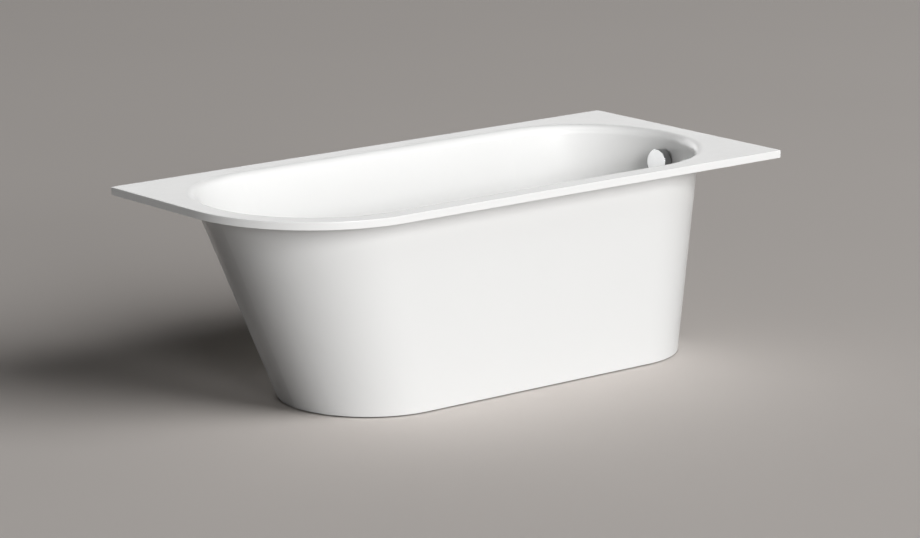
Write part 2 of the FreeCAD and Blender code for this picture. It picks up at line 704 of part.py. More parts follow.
def foot_pad(x, y):
    """Moulded pad with a flared base and a socket for the stud."""
    socket = STUD_RADIUS + STUD_CLEARANCE
    socket_floor = PAD_HEIGHT - PAD_SOCKET
    return turned([
        (0, 0),
        (PAD_RADIUS - PAD_EDGE, 0),
        (PAD_RADIUS, PAD_EDGE),
        (PAD_RADIUS, PAD_BASE),
        (PAD_HUB_RADIUS + PAD_EDGE, PAD_BASE + PAD_EDGE * 2),
        (PAD_HUB_RADIUS, PAD_HEIGHT - PAD_EDGE),
        (PAD_HUB_RADIUS - PAD_EDGE, PAD_HEIGHT),
        (socket, PAD_HEIGHT),
        (socket, socket_floor),
        (0, socket_floor),
    ], (x, y))


def bracket_screw_z():
    """Height of the screw that holds a panel bracket to its rail."""
    return RAIL_UNDER + RAIL_HEIGHT * PANEL_BRACKET_SCREW_SHARE


def bracket_toe(x):
    """Place of the screw through a panel bracket's toe, on the apron's lower return."""
    return Vector(x, PANEL_FOOT_RETURN / 2 - panel_reach(x), PANEL_FLOOR_GAP + PANEL_SHEET)


def panel_bracket(x):
    """Angle bracket from a rail's end down to the apron's lower return."""
    low = PANEL_FLOOR_GAP + PANEL_SHEET
    toe = PANEL_BRACKET_TOE_GAP - panel_reach(x)
    end = -RAIL_END
    sheet = PANEL_BRACKET_SHEET
    outline = [
        Vector(x - PANEL_BRACKET_WIDTH / 2, y, z) for y, z in (
            (end, BOARD_UNDER - RAIL_BEND),
            (end - sheet, BOARD_UNDER - RAIL_BEND),
            (end - sheet, low + sheet),
            (toe, low + sheet),
            (toe, low),
            (end, low),
        )
    ]
    face = Part.Face(Part.makePolygon(outline + outline[:1]))
    bracket = face.extrude(Vector(PANEL_BRACKET_WIDTH, 0, 0))
    top_hole = rod(Vector(x, end - sheet - CUT_OVERRUN, bracket_screw_z()),
                   Vector(x, end + CUT_OVERRUN, bracket_screw_z()), SCREW_RADIUS + SCREW_CLEARANCE)
    return bracket.cut(top_hole).cut(pilot(sheet).translated(bracket_toe(x)))


def panel_bracket_screws():
    """Screws of both panel brackets, into the rail ends and the apron's lower return."""
    short = PANEL_SHEET + PANEL_BRACKET_SHEET
    body = drum(SCREW_RADIUS, 0, short)
    head = Part.makeCone(SCREW_HEAD_RADIUS, SCREW_HEAD_RADIUS - SCREW_HEAD_HEIGHT / 2, SCREW_HEAD_HEIGHT,
                         Vector(0, 0, short))
    down = body.fuse(head).removeSplitter()
    along = down.rotated(Vector(0, 0, 0), Vector(1, 0, 0), 90)
    solids = []
    for x in RAIL_PLACES.values():
        toe = bracket_toe(x)
        solids.append(down.translated(toe - Vector(0, 0, PANEL_SHEET)))
        face_y = -RAIL_END - PANEL_BRACKET_SHEET
        solids.append(along.translated(Vector(x, face_y + short, bracket_screw_z())))
    return Part.makeCompound(solids)


def panel_screws():
    """Screws through the apron's top flange into the battens."""
    drop = Vector(0, 0, -PANEL_SHEET)
    return Part.makeCompound(placed(screw(), [spot + drop for spot in panel_screw_spots()]))


def wall_bracket(x):
    """Folded bracket under the back batten that steps below the rim and turns down along the wall."""
    wall = WIDTH / 2
    sheet = WALL_BRACKET_SHEET
    inner = wall - SHEET - WALL_BRACKET_LEG
    step = wall - SHEET - sheet * 2
    outline = [
        Vector(x - WALL_BRACKET_WIDTH / 2, y, z) for y, z in (
            (inner, BATTEN_UNDER),
            (step, BATTEN_UNDER),
            (step, RIM_UNDER),
            (wall, RIM_UNDER),
            (wall, RIM_UNDER - WALL_BRACKET_DROP),
            (wall - sheet, RIM_UNDER - WALL_BRACKET_DROP),
            (wall - sheet, RIM_UNDER - sheet),
            (step - sheet, RIM_UNDER - sheet),
            (step - sheet, BATTEN_UNDER - sheet),
            (inner, BATTEN_UNDER - sheet),
        )
    ]
    face = Part.Face(Part.makePolygon(outline + outline[:1]))
    bracket = face.extrude(Vector(WALL_BRACKET_WIDTH, 0, 0))
    hole_z = RIM_UNDER - WALL_HOLE_DROP
    hole = rod(Vector(x, wall - sheet - CUT_OVERRUN, hole_z), Vector(x, wall + CUT_OVERRUN, hole_z),
               WALL_HOLE_RADIUS)
    for cutter in [hole] + placed(pilot(sheet), wall_screw_spots(x)):
        bracket = bracket.cut(cutter)
    return bracket


def wall_bracket_screws():
    """Screws of both wall brackets, up into the back batten."""
    drop = Vector(0, 0, -WALL_BRACKET_SHEET)
    return Part.makeCompound([screw().translated(spot + drop)
                              for x in WALL_BRACKET_PLACES.values() for spot in wall_screw_spots(x)])


def waste_flange():
    """Dished flange with a conical seat, a threaded tail and a three-armed guide for the plug stem."""
    throat = WASTE_TAIL_RADIUS - WASTE_TAIL_WALL
    flange = turned([
        (WASTE_SEAT_RADIUS, FLANGE_TOP),
        (WASTE_FLANGE_RADIUS - WASTE_FLANGE_EDGE, FLANGE_TOP),
        (WASTE_FLANGE_RADIUS, FLANGE_TOP - WASTE_FLANGE_EDGE),
        (WASTE_FLANGE_RADIUS, TAIL_TOP),
        (WASTE_TAIL_RADIUS, TAIL_TOP),
        (WASTE_TAIL_RADIUS, TAIL_END),
        (throat, TAIL_END),
        (throat, FLANGE_TOP - WASTE_SEAT_DEPTH),
    ])
    for index in range(GUIDE_ARM_COUNT):
        arm = block((0, -GUIDE_ARM / 2, TAIL_END),
                    (throat + WASTE_TAIL_WALL / 2, GUIDE_ARM / 2, TAIL_END + GUIDE_HEIGHT))
        flange = flange.fuse(arm.rotated(Vector(0, 0, 0), Vector(0, 0, 1), 360 * index / GUIDE_ARM_COUNT))
    flange = flange.fuse(drum(GUIDE_RADIUS, TAIL_END, TAIL_END + GUIDE_HEIGHT))
    bore = drum(STEM_RADIUS + STEM_CLEARANCE, TAIL_END - CUT_OVERRUN, TAIL_END + GUIDE_HEIGHT + CUT_OVERRUN)
    return flange.cut(bore).removeSplitter().translated(Vector(WASTE_X, 0, 0))


def waste_body():
    """Cup under the basin with a threaded neck, an outlet below and an inlet for the overflow pipe."""
    neck = WASTE_TAIL_RADIUS + WASTE_THREAD_CLEARANCE
    outlet = TRAP_RADIUS - TRAP_WALL
    body = turned([
        (neck, BODY_TOP),
        (BODY_FLANGE_RADIUS, BODY_TOP),
        (BODY_FLANGE_RADIUS, CUP_TOP),
        (CUP_RADIUS, CUP_TOP),
        (CUP_RADIUS, CUP_UNDER),
        (TRAP_RADIUS, CUP_UNDER),
        (TRAP_RADIUS, TRAP_TOP),
        (outlet, TRAP_TOP),
        (outlet, CUP_FLOOR),
        (CUP_RADIUS - CUP_WALL, CUP_FLOOR),
        (CUP_RADIUS - CUP_WALL, CUP_TOP - CUP_WALL),
        (neck, CUP_TOP - CUP_WALL),
    ], (WASTE_X, 0))
    cup_middle = Vector(WASTE_X + CUP_RADIUS - CUP_WALL, 0, INLET_Z)
    body = body.fuse(rod(cup_middle, Vector(INLET_END, 0, INLET_Z), PIPE_RADIUS))
    hollow = drum(CUP_RADIUS - CUP_WALL, CUP_FLOOR, CUP_TOP - CUP_WALL, (WASTE_X, 0))
    gland_z = PIVOT_Z + GLAND_RISE
    gland_end = Vector(WASTE_X - CUP_RADIUS - GLAND_LENGTH, 0, gland_z)
    body = body.fuse(rod(gland_end, Vector(WASTE_X - CUP_RADIUS + CUP_WALL, 0, gland_z), GLAND_RADIUS))
    body = body.cut(hollow)
    body = body.cut(rod(Vector(WASTE_X, 0, INLET_Z), Vector(INLET_END + CUT_OVERRUN, 0, INLET_Z),
                        PIPE_RADIUS - PIPE_WALL))
    body = body.cut(rod(gland_end - Vector(CUT_OVERRUN, 0, 0), Vector(WASTE_X, 0, gland_z), GLAND_BORE))
    pin_reach = Vector(0, CUP_RADIUS, 0)
    pivot = Vector(PIVOT_X, 0, PIVOT_Z)
    return body.cut(rod(pivot - pin_reach, pivot + pin_reach, PIN_RADIUS)).removeSplitter()


def waste_seal(outer, low, thick):
    """Flat ring seal round the waste's tail."""
    return sleeve(outer, WASTE_HOLE_RADIUS, low, low + thick, (WASTE_X, 0))


def waste_plug():
    """Domed cap of the pop-up plug, with a boss for stem and seal."""
    low = FLANGE_TOP + PLUG_STAND
    rim_top = low + PLUG_EDGE
    crown = rim_top + PLUG_CROWN
    boss_end = low - PLUG_BOSS_DEPTH
    socket = STEM_RADIUS + STEM_CLEARANCE
    flat = [
        Vector(PLUG_RADIUS, 0, rim_top),
        Vector(PLUG_RADIUS, 0, low),
        Vector(PLUG_BOSS_RADIUS, 0, low),
        Vector(PLUG_BOSS_RADIUS, 0, boss_end),
        Vector(socket, 0, boss_end),
        Vector(socket, 0, low),
        Vector(0, 0, low),
        Vector(0, 0, crown),
    ]
    dome_radius = (PLUG_RADIUS ** 2 + PLUG_CROWN ** 2) / (2 * PLUG_CROWN)
    half = math.asin(PLUG_RADIUS / dome_radius) / 2
    middle = Vector(dome_radius * math.sin(half), 0, crown - dome_radius * (1 - math.cos(half)))
    edges = [Part.makeLine(start, end) for start, end in zip(flat, flat[1:])]
    edges.append(Part.Arc(flat[-1], middle, flat[0]).toShape())
    cap = Part.Face(Part.Wire(edges)).revolve(Vector(0, 0, 0), Vector(0, 0, 1), 360)
    return cap.translated(Vector(WASTE_X, 0, 0))


def plug_stem():
    """Stem from the plug cap through its guide to just above the lever."""
    top = FLANGE_TOP + PLUG_STAND
    bottom = PIVOT_Z - PLUG_LIFT / 2 + LEVER_TIP_RADIUS + LEVER_GAP
    return drum(STEM_RADIUS, bottom, top, (WASTE_X, 0))


def plug_seal():
    """Seal ring round the plug's boss, just clear of the conical seat."""
    top = FLANGE_TOP + PLUG_STAND
    low = top - PLUG_SEAL_THICK
    throat = WASTE_TAIL_RADIUS - WASTE_TAIL_WALL
    cone = (WASTE_SEAT_RADIUS - throat) / WASTE_SEAT_DEPTH
    outer = WASTE_SEAT_RADIUS - cone * (FLANGE_TOP - low) - PLUG_SEAL_CLEARANCE
    return sleeve(outer, PLUG_BOSS_RADIUS + STEM_CLEARANCE, low, top, (WASTE_X, 0))


def lift_lever():
    """Rocking lever in the cup, with a hub on its pin and a round tip under the plug stem."""
    half = Vector(0, LEVER_WIDTH / 2, 0)
    pivot = Vector(0, 0, 0)
    tip = Vector(LEVER_ARM, 0, 0)
    lever = rod(pivot - half, pivot + half, LEVER_HUB_RADIUS)
    lever = lever.fuse(rod(tip - half, tip + half, LEVER_TIP_RADIUS))
    lever = lever.fuse(block((0, -LEVER_WIDTH / 2, -LEVER_TIP_RADIUS),
                             (LEVER_ARM, LEVER_WIDTH / 2, LEVER_TIP_RADIUS / 2)))
    lever = lever.cut(rod(pivot - half * 2, pivot + half * 2, PIN_RADIUS + PIN_CLEARANCE)).removeSplitter()
    lever = lever.rotated(pivot, Vector(0, 1, 0), LEVER_SWING)
    return lever.translated(Vector(PIVOT_X, 0, PIVOT_Z))


def lever_pin():
    """Pivot pin of the lever, pressed through the cup's wall."""
    reach = Vector(0, math.sqrt(CUP_RADIUS ** 2 - LEVER_ARM ** 2), 0)
    pivot = Vector(PIVOT_X, 0, PIVOT_Z)
    return rod(pivot - reach, pivot + reach, PIN_RADIUS)


def trap_points():
    """Corners of the trap's route from the cup down, round the water seal and out towards the wall."""
    bottom = TRAP_TOP - TRAP_STRAIGHT - TRAP_BEND
    rise_y = TRAP_BEND * 2
    outlet_z = bottom + TRAP_BEND * 2 + TRAP_STRAIGHT
    return [Vector(WASTE_X, y, z) for y, z in (
        (0, TRAP_TOP),
        (0, bottom),
        (rise_y, bottom),
        (rise_y, outlet_z),
        (rise_y + TRAP_BEND + TRAP_REACH, outlet_z),
    )]


def trap_bend():
    """U-bend that holds the trap's water seal."""
    return hollow_pipe(trap_points(), TRAP_BEND, TRAP_RADIUS, TRAP_WALL)


def trap_nut():
    """Union nut between cup and trap."""
    nut = grip_nut(TRAP_RADIUS + TRAP_NUT_CLEARANCE, TRAP_NUT_WALL, TRAP_NUT_LENGTH)
    return nut.translated(Vector(WASTE_X, 0, TRAP_TOP - TRAP_STRAIGHT))


def outlet_nut():
    """Union nut between trap and outlet pipe."""
    end = trap_points()[-1]
    nut = grip_nut(TRAP_RADIUS + TRAP_NUT_CLEARANCE, TRAP_NUT_WALL, TRAP_NUT_LENGTH)
    nut = nut.rotated(Vector(0, 0, 0), Vector(1, 0, 0), -90)
    return nut.translated(end - Vector(0, TRAP_NUT_LENGTH / 2, 0))


def trap_outlet():
    """Outlet pipe towards the wall, ending in a plain spigot."""
    start = trap_points()[-1]
    end = Vector(start.x, OUTLET_END, start.z)
    shoulder = end - Vector(0, SPIGOT_LENGTH, 0)
    pipe = rod(start, end, TRAP_RADIUS).fuse(rod(start + Vector(0, TRAP_NUT_LENGTH, 0), shoulder,
                                                 TRAP_RADIUS + SPIGOT_STEP))
    overrun = Vector(0, CUT_OVERRUN, 0)
    return pipe.cut(rod(start - overrun, end + overrun, TRAP_RADIUS - TRAP_WALL)).removeSplitter()


def overflow_body():
    """Cup behind the foot-end wall, with a front flange, an outlet spigot and a cable gland."""
    front = OVERFLOW_BODY_TOP - OVERFLOW_BODY_FLANGE
    cup_inner = OVERFLOW_BODY_RADIUS - OVERFLOW_BODY_WALL
    body = turned([
        (0, OVERFLOW_BODY_END),
        (OVERFLOW_BODY_RADIUS, OVERFLOW_BODY_END),
        (OVERFLOW_BODY_RADIUS, front),
        (OVERFLOW_SEAL_RADIUS, front),
        (OVERFLOW_SEAL_RADIUS, OVERFLOW_BODY_TOP),
        (OVERFLOW_TUBE_RADIUS + OVERFLOW_TUBE_CLEARANCE, OVERFLOW_BODY_TOP),
        (OVERFLOW_TUBE_RADIUS + OVERFLOW_TUBE_CLEARANCE, front),
        (cup_inner, front - OVERFLOW_BODY_WALL),
        (cup_inner, OVERFLOW_BODY_END + OVERFLOW_BODY_WALL),
        (0, OVERFLOW_BODY_END + OVERFLOW_BODY_WALL),
    ])
    spigot_start = Vector(-cup_inner + OVERFLOW_BODY_WALL, 0, OVERFLOW_OUTLET_Z)
    spigot_end = Vector(-OVERFLOW_OUTLET_DROP, 0, OVERFLOW_OUTLET_Z)
    gland_side = PIPE_RADIUS + GLAND_RADIUS * 2 - OVERFLOW_BODY_WALL
    gland_start = Vector(0, gland_side, OVERFLOW_OUTLET_Z)
    gland_end = Vector(-OVERFLOW_BODY_RADIUS - GLAND_LENGTH / 2, gland_side, OVERFLOW_OUTLET_Z)
    hollow = drum(cup_inner, OVERFLOW_BODY_END + OVERFLOW_BODY_WALL, front - OVERFLOW_BODY_WALL)
    body = body.fuse(rod(spigot_start, spigot_end, PIPE_RADIUS))
    body = body.fuse(rod(gland_start, gland_end, GLAND_RADIUS)).cut(hollow)
    overrun = Vector(CUT_OVERRUN, 0, 0)
    body = body.cut(rod(Vector(0, 0, OVERFLOW_OUTLET_Z), spigot_end - overrun, PIPE_RADIUS - PIPE_WALL))
    body = body.cut(rod(gland_start, gland_end - overrun, GLAND_BORE))
    return at_overflow(body.removeSplitter())


def overflow_seal():
    """Ring seal between the wall's boss and the overflow body."""
    seal = sleeve(OVERFLOW_SEAL_RADIUS, OVERFLOW_HOLE_RADIUS, OVERFLOW_BODY_TOP, -OVERFLOW_BOSS_DROP)
    return at_overflow(seal)


def overflow_flange():
    """Front flange with a threaded tube and a spoked grille that carries the knob's spindle."""
    tube_inner = OVERFLOW_TUBE_RADIUS - OVERFLOW_TUBE_WALL
    flange = sleeve(OVERFLOW_TUBE_RADIUS, tube_inner, OVERFLOW_BODY_TOP - OVERFLOW_BODY_FLANGE, GRILLE_THICK)
    flange = flange.fuse(sleeve(GRILLE_RADIUS, tube_inner, 0, GRILLE_THICK))
    for index in range(GRILLE_ARM_COUNT):
        arm = block((0, -GRILLE_ARM / 2, GRILLE_THICK - GRILLE_HUB_DEPTH / 2),
                    (OVERFLOW_TUBE_RADIUS - OVERFLOW_TUBE_WALL / 2, GRILLE_ARM / 2, GRILLE_THICK))
        flange = flange.fuse(arm.rotated(Vector(0, 0, 0), Vector(0, 0, 1), 360 * index / GRILLE_ARM_COUNT))
    flange = flange.fuse(drum(GRILLE_HUB_RADIUS, GRILLE_THICK - GRILLE_HUB_DEPTH, GRILLE_THICK))
    bore = drum(SPINDLE_RADIUS + SPINDLE_CLEARANCE, -GRILLE_HUB_DEPTH - CUT_OVERRUN,
                GRILLE_THICK + CUT_OVERRUN)
    return at_overflow(flange.cut(bore).removeSplitter())


def overflow_knob():
    """Round turning knob: a shallow cap that stands off the wall, with a hub on the spindle."""
    front = KNOB_STAND + KNOB_THICK
    inner = KNOB_RADIUS - KNOB_WALL
    under_face = front - KNOB_FACE
    socket = SPINDLE_RADIUS + SPINDLE_CLEARANCE
    return at_overflow(turned([
        (0, front),
        (KNOB_RADIUS - KNOB_EDGE, front),
        (KNOB_RADIUS, front - KNOB_EDGE),
        (KNOB_RADIUS, KNOB_STAND),
        (inner, KNOB_STAND),
        (inner, under_face),
        (KNOB_HUB_RADIUS, under_face),
        (KNOB_HUB_RADIUS, KNOB_STAND),
        (socket, KNOB_STAND),
        (socket, under_face),
        (0, under_face),
    ]))


def drum_level():
    """Heights of the cable drum inside the overflow body."""
    low = OVERFLOW_BODY_END + OVERFLOW_BODY_WALL * 2
    return low, low + DRUM_THICK


def knob_spindle():
    """Spindle from the knob's hub through the grille to the cable drum."""
    return at_overflow(drum(SPINDLE_RADIUS, drum_level()[0], KNOB_STAND + KNOB_THICK - KNOB_FACE))


def cable_drum():
    """Grooved drum on the spindle that winds the plug's control cable."""
    low, high = drum_level()
    bore = SPINDLE_RADIUS + SPINDLE_CLEARANCE
    side = DRUM_THICK * DRUM_SIDE_SHARE
    return at_overflow(turned([
        (bore, low),
        (DRUM_RADIUS, low),
        (DRUM_RADIUS, low + side),
        (DRUM_RADIUS - DRUM_GROOVE, low + DRUM_THICK / 2),
        (DRUM_RADIUS, high - side),
        (DRUM_RADIUS, high),
        (bore, high),
    ]))


def pipe_points():
    """Corners of the overflow pipe's route: down along the foot-end wall, then in to the waste body."""
    start = overflow_point(-OVERFLOW_OUTLET_DROP, 0, OVERFLOW_OUTLET_Z)
    down = overflow_point(-OVERFLOW_OUTLET_DROP * 2, 0, OVERFLOW_OUTLET_Z) - start
    corner = start + down * ((INLET_Z - start.z) / down.z)
    return [start, corner, Vector(INLET_END, 0, INLET_Z)]


def overflow_pipe():
    """Bent pipe from the overflow body to the waste body."""
    return hollow_pipe(pipe_points(), PIPE_BEND, PIPE_RADIUS, PIPE_WALL)


def pipe_nut():
    """Union nut of the overflow pipe, centred on the origin along Z."""
    nut = grip_nut(PIPE_RADIUS + TRAP_NUT_CLEARANCE, PIPE_NUT_WALL, PIPE_NUT_LENGTH)
    return nut.translated(Vector(0, 0, -PIPE_NUT_LENGTH / 2))


def pipe_nut_upper():
    """Union nut where the pipe leaves the overflow body."""
    nut = pipe_nut().rotated(Vector(0, 0, 0), Vector(0, 1, 0), 90)
    return at_overflow(nut.translated(Vector(-OVERFLOW_OUTLET_DROP, 0, OVERFLOW_OUTLET_Z)))


def pipe_nut_lower():
    """Union nut where the pipe enters the waste body."""
    nut = pipe_nut().rotated(Vector(0, 0, 0), Vector(0, 1, 0), 90)
    return nut.translated(Vector(INLET_END, 0, INLET_Z))


def build():
    """All pieces of the bath by name."""
    seal_low = FLOOR_TOP - WASTE_RECESS_DEPTH
    parts = {
        "bath_shell": bath_shell(),
        "apron_panel": apron_panel(),
        **rim_battens(),
        "base_board": base_board(),
        "rail_screws": rail_screws(),
        "foot_nuts": foot_nuts(),
        "panel_bracket_screws": panel_bracket_screws(),
        "panel_screws": panel_screws(),
        "wall_bracket_screws": wall_bracket_screws(),
        "waste_flange": waste_flange(),
        "waste_seal_upper": waste_seal(WASTE_SEAL_RADIUS, seal_low, WASTE_SEAL_THICK),
        "waste_seal_lower": waste_seal(BODY_FLANGE_RADIUS, BODY_TOP, BODY_SEAL_THICK),
        "waste_body": waste_body(),
        "waste_plug": waste_plug(),
        "plug_stem": plug_stem(),
        "plug_seal": plug_seal(),
        "lift_lever": lift_lever(),
        "lever_pin": lever_pin(),
        "trap_bend": trap_bend(),
        "trap_nut": trap_nut(),
        "trap_outlet": trap_outlet(),
        "outlet_nut": outlet_nut(),
        "overflow_body": overflow_body(),
        "overflow_seal": overflow_seal(),
        "overflow_flange": overflow_flange(),
        "overflow_knob": overflow_knob(),
        "knob_spindle": knob_spindle(),
        "cable_drum": cable_drum(),
        "overflow_pipe": overflow_pipe(),
        "pipe_nut_upper": pipe_nut_upper(),
        "pipe_nut_lower": pipe_nut_lower(),
    }
    for end, x in RAIL_PLACES.items():
        parts[f"support_rail_{end}"] = support_rail(x)
        parts[f"panel_bracket_{end}"] = panel_bracket(x)
        for side, y in FOOT_SIDES.items():
            parts[f"foot_stud_{end}_{side}"] = foot_stud(x, y)
            parts[f"foot_pad_{end}_{side}"] = foot_pad(x, y)
    for end, x in WALL_BRACKET_PLACES.items():
        parts[f"wall_bracket_{end}"] = wall_bracket(x)
    return parts


def main():
    """Writes every piece to its own file and prints how many solids it holds."""
    os.makedirs("parts", exist_ok=True)
    for name, shape in build().items():
        shape.exportStep(os.path.join("parts", name + ".step"))
        print(f"{name}: {len(shape.Solids)} solids, valid {shape.isValid()}")


main()
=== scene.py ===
"""Looks of the built-in bath: finishes for every piece, finer hardware, studio, light and camera."""

import json
import logging
import math
from dataclasses import dataclass
from enum import Enum

import bpy
from mathutils import Euler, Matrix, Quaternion, Vector

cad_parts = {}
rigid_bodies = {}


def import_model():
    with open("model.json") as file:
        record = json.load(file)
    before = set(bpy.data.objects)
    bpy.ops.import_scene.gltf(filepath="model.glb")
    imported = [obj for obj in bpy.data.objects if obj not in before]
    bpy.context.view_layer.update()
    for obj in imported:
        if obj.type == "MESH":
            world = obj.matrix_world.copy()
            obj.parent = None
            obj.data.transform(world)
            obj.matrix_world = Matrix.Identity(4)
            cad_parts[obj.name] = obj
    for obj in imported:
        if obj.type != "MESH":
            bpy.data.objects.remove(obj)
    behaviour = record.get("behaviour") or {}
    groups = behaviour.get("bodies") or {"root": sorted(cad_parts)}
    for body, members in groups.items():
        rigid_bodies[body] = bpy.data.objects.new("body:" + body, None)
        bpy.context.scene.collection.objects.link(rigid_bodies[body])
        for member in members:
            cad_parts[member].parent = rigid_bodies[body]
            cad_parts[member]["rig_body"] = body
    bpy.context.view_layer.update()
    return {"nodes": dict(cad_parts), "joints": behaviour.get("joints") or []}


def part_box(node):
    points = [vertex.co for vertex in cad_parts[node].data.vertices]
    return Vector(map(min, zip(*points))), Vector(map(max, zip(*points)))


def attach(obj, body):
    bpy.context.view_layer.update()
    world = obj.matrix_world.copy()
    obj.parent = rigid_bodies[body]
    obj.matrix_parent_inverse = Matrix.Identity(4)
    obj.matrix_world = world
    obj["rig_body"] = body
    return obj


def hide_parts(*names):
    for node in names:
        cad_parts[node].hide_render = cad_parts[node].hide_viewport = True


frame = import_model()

LOG = logging.getLogger("bath")

Colour = tuple[float, float, float]
Triple = tuple[float, float, float]
Range = tuple[float, float]
Socket = bpy.types.NodeSocket

RISE: Range = (0.0, 1.0)
FALL: Range = (1.0, 0.0)
WHITE: Colour = (1.0, 1.0, 1.0)
MERGE_DISTANCE = 0.000005
SEED_SIZE = 0.001


class Slot(Enum):
    """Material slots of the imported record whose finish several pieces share."""

    PLYWOOD = "plywood"
    ZINC = "zinc_steel"
    CHROME = "chrome"
    RUBBER = "seal_rubber"
    PIPE = "white_pipe"
    GREY = "grey_plastic"
    BLACK = "black_plastic"


class GlazedSide(Enum):
    """Side of a leaning acrylic wall that carries the gloss: the one that faces up or down."""

    UPPER = 1.0
    LOWER = -1.0


class Reach(Enum):
    """What the studio's flags let a lamp light. The value is the lamp's link with the floor."""

    ALL = "ALL"
    BATH = "EXCLUDE"
    FLOOR = "INCLUDE"


class Axis(Enum):
    """Axis of the frame, by the name of its socket."""

    X = "X"
    Z = "Z"


class Ease(Enum):
    """How a range runs between its ends."""

    EVEN = "LINEAR"
    SOFT = "SMOOTHSTEP"


class MixKind(Enum):
    """What a mix node mixes: its data type, the places of its two inputs and that of its result."""

    NUMBER = ("FLOAT", 2, 3, 0)
    COLOUR = ("RGBA", 6, 7, 2)


@dataclass(frozen=True)
class Grain:
    """Soft noise: cells to the metre, octaves of finer noise and the stretch of X, Y and Z."""

    scale: float
    detail: float = 2.0
    stretch: Triple = (1.0, 1.0, 1.0)


class Nodes:
    """Node tree with short calls that add and join its nodes."""

    def __init__(self, tree: bpy.types.NodeTree) -> None:
        """Takes the tree to work on."""
        self.tree = tree

    def node(self, kind: str, **settings: object) -> bpy.types.Node:
        """Adds a node.

        Args:
            kind: Blender's name of the node type.
            settings: Properties set on the node.

        Returns:
            The new node.
        """
        made = self.tree.nodes.new(kind)
        for key, value in settings.items():
            setattr(made, key, value)
        return made

    def join(self, source: Socket, target: Socket) -> None:
        """Links two sockets."""
        self.tree.links.new(source, target)

    def feed(self, value: float | Colour | Socket, target: Socket) -> None:
        """Sets a socket to a number or a colour, or links it with another socket.

        Args:
            value: Number, colour or socket.
            target: Socket that takes it.
        """
        if isinstance(value, float):
            target.default_value = value
        elif isinstance(value, tuple):
            target.default_value = (*value, 1.0)
        else:
            self.join(value, target)

    def math(self, operation: str, *values: float | Socket) -> Socket:
        """Does one step of arithmetic.

        Args:
            operation: Blender's name of the operation.
            values: Numbers or sockets to work on.

        Returns:
            The result.
        """
        made = self.node("ShaderNodeMath", operation=operation)
        for value, target in zip(values, made.inputs):
            self.feed(value, target)
        return made.outputs[0]

    def span(self, value: Socket, source: Range, target: Range, ease: Ease = Ease.EVEN) -> Socket:
        """Maps a value from one range to another, held at the ends.

        Args:
            value: Value to map.
            source: Range that comes in.
            target: Range that goes out.
            ease: How it runs between the ends.

        Returns:
            The mapped value.
        """
        made = self.node("ShaderNodeMapRange", interpolation_type=ease.value)
        made.inputs["From Min"].default_value, made.inputs["From Max"].default_value = source
        made.inputs["To Min"].default_value, made.inputs["To Max"].default_value = target
        self.join(value, made.inputs["Value"])
        return made.outputs["Result"]

    def mixed(self, kind: MixKind, share: Socket, low: float | Colour | Socket,
              high: float | Colour | Socket) -> Socket:
        """Mixes two numbers or two colours.

        Args:
            kind: What is mixed.
            share: 0 for the first, 1 for the second.
            low: First number, colour or socket.
            high: Second number, colour or socket.

        Returns:
            The mixture.
        """
        data_type, first, second, result = kind.value
        mix = self.node("ShaderNodeMix", data_type=data_type)
        self.join(share, mix.inputs[0])
        self.feed(low, mix.inputs[first])
        self.feed(high, mix.inputs[second])
        return mix.outputs[result]

    def part(self, vector: Socket, axis: Axis) -> Socket:
        """Takes one part out of a vector.

        Args:
            vector: Vector to split.
            axis: Axis of the part.

        Returns:
            The part along the axis.
        """
        split = self.node("ShaderNodeSeparateXYZ")
        self.join(vector, split.inputs["Vector"])
        return split.outputs[axis.value]

    def seen(self) -> Socket:
        """Tells what is looked at from what only throws light.

        Returns:
            1 for rays from the camera, in gloss and through glass, and 0 for all others.
        """
        rays = self.node("ShaderNodeLightPath").outputs
        mirrored = self.math("MAXIMUM", rays["Is Glossy Ray"], rays["Is Transmission Ray"])
        return self.math("MAXIMUM", rays["Is Camera Ray"], mirrored)


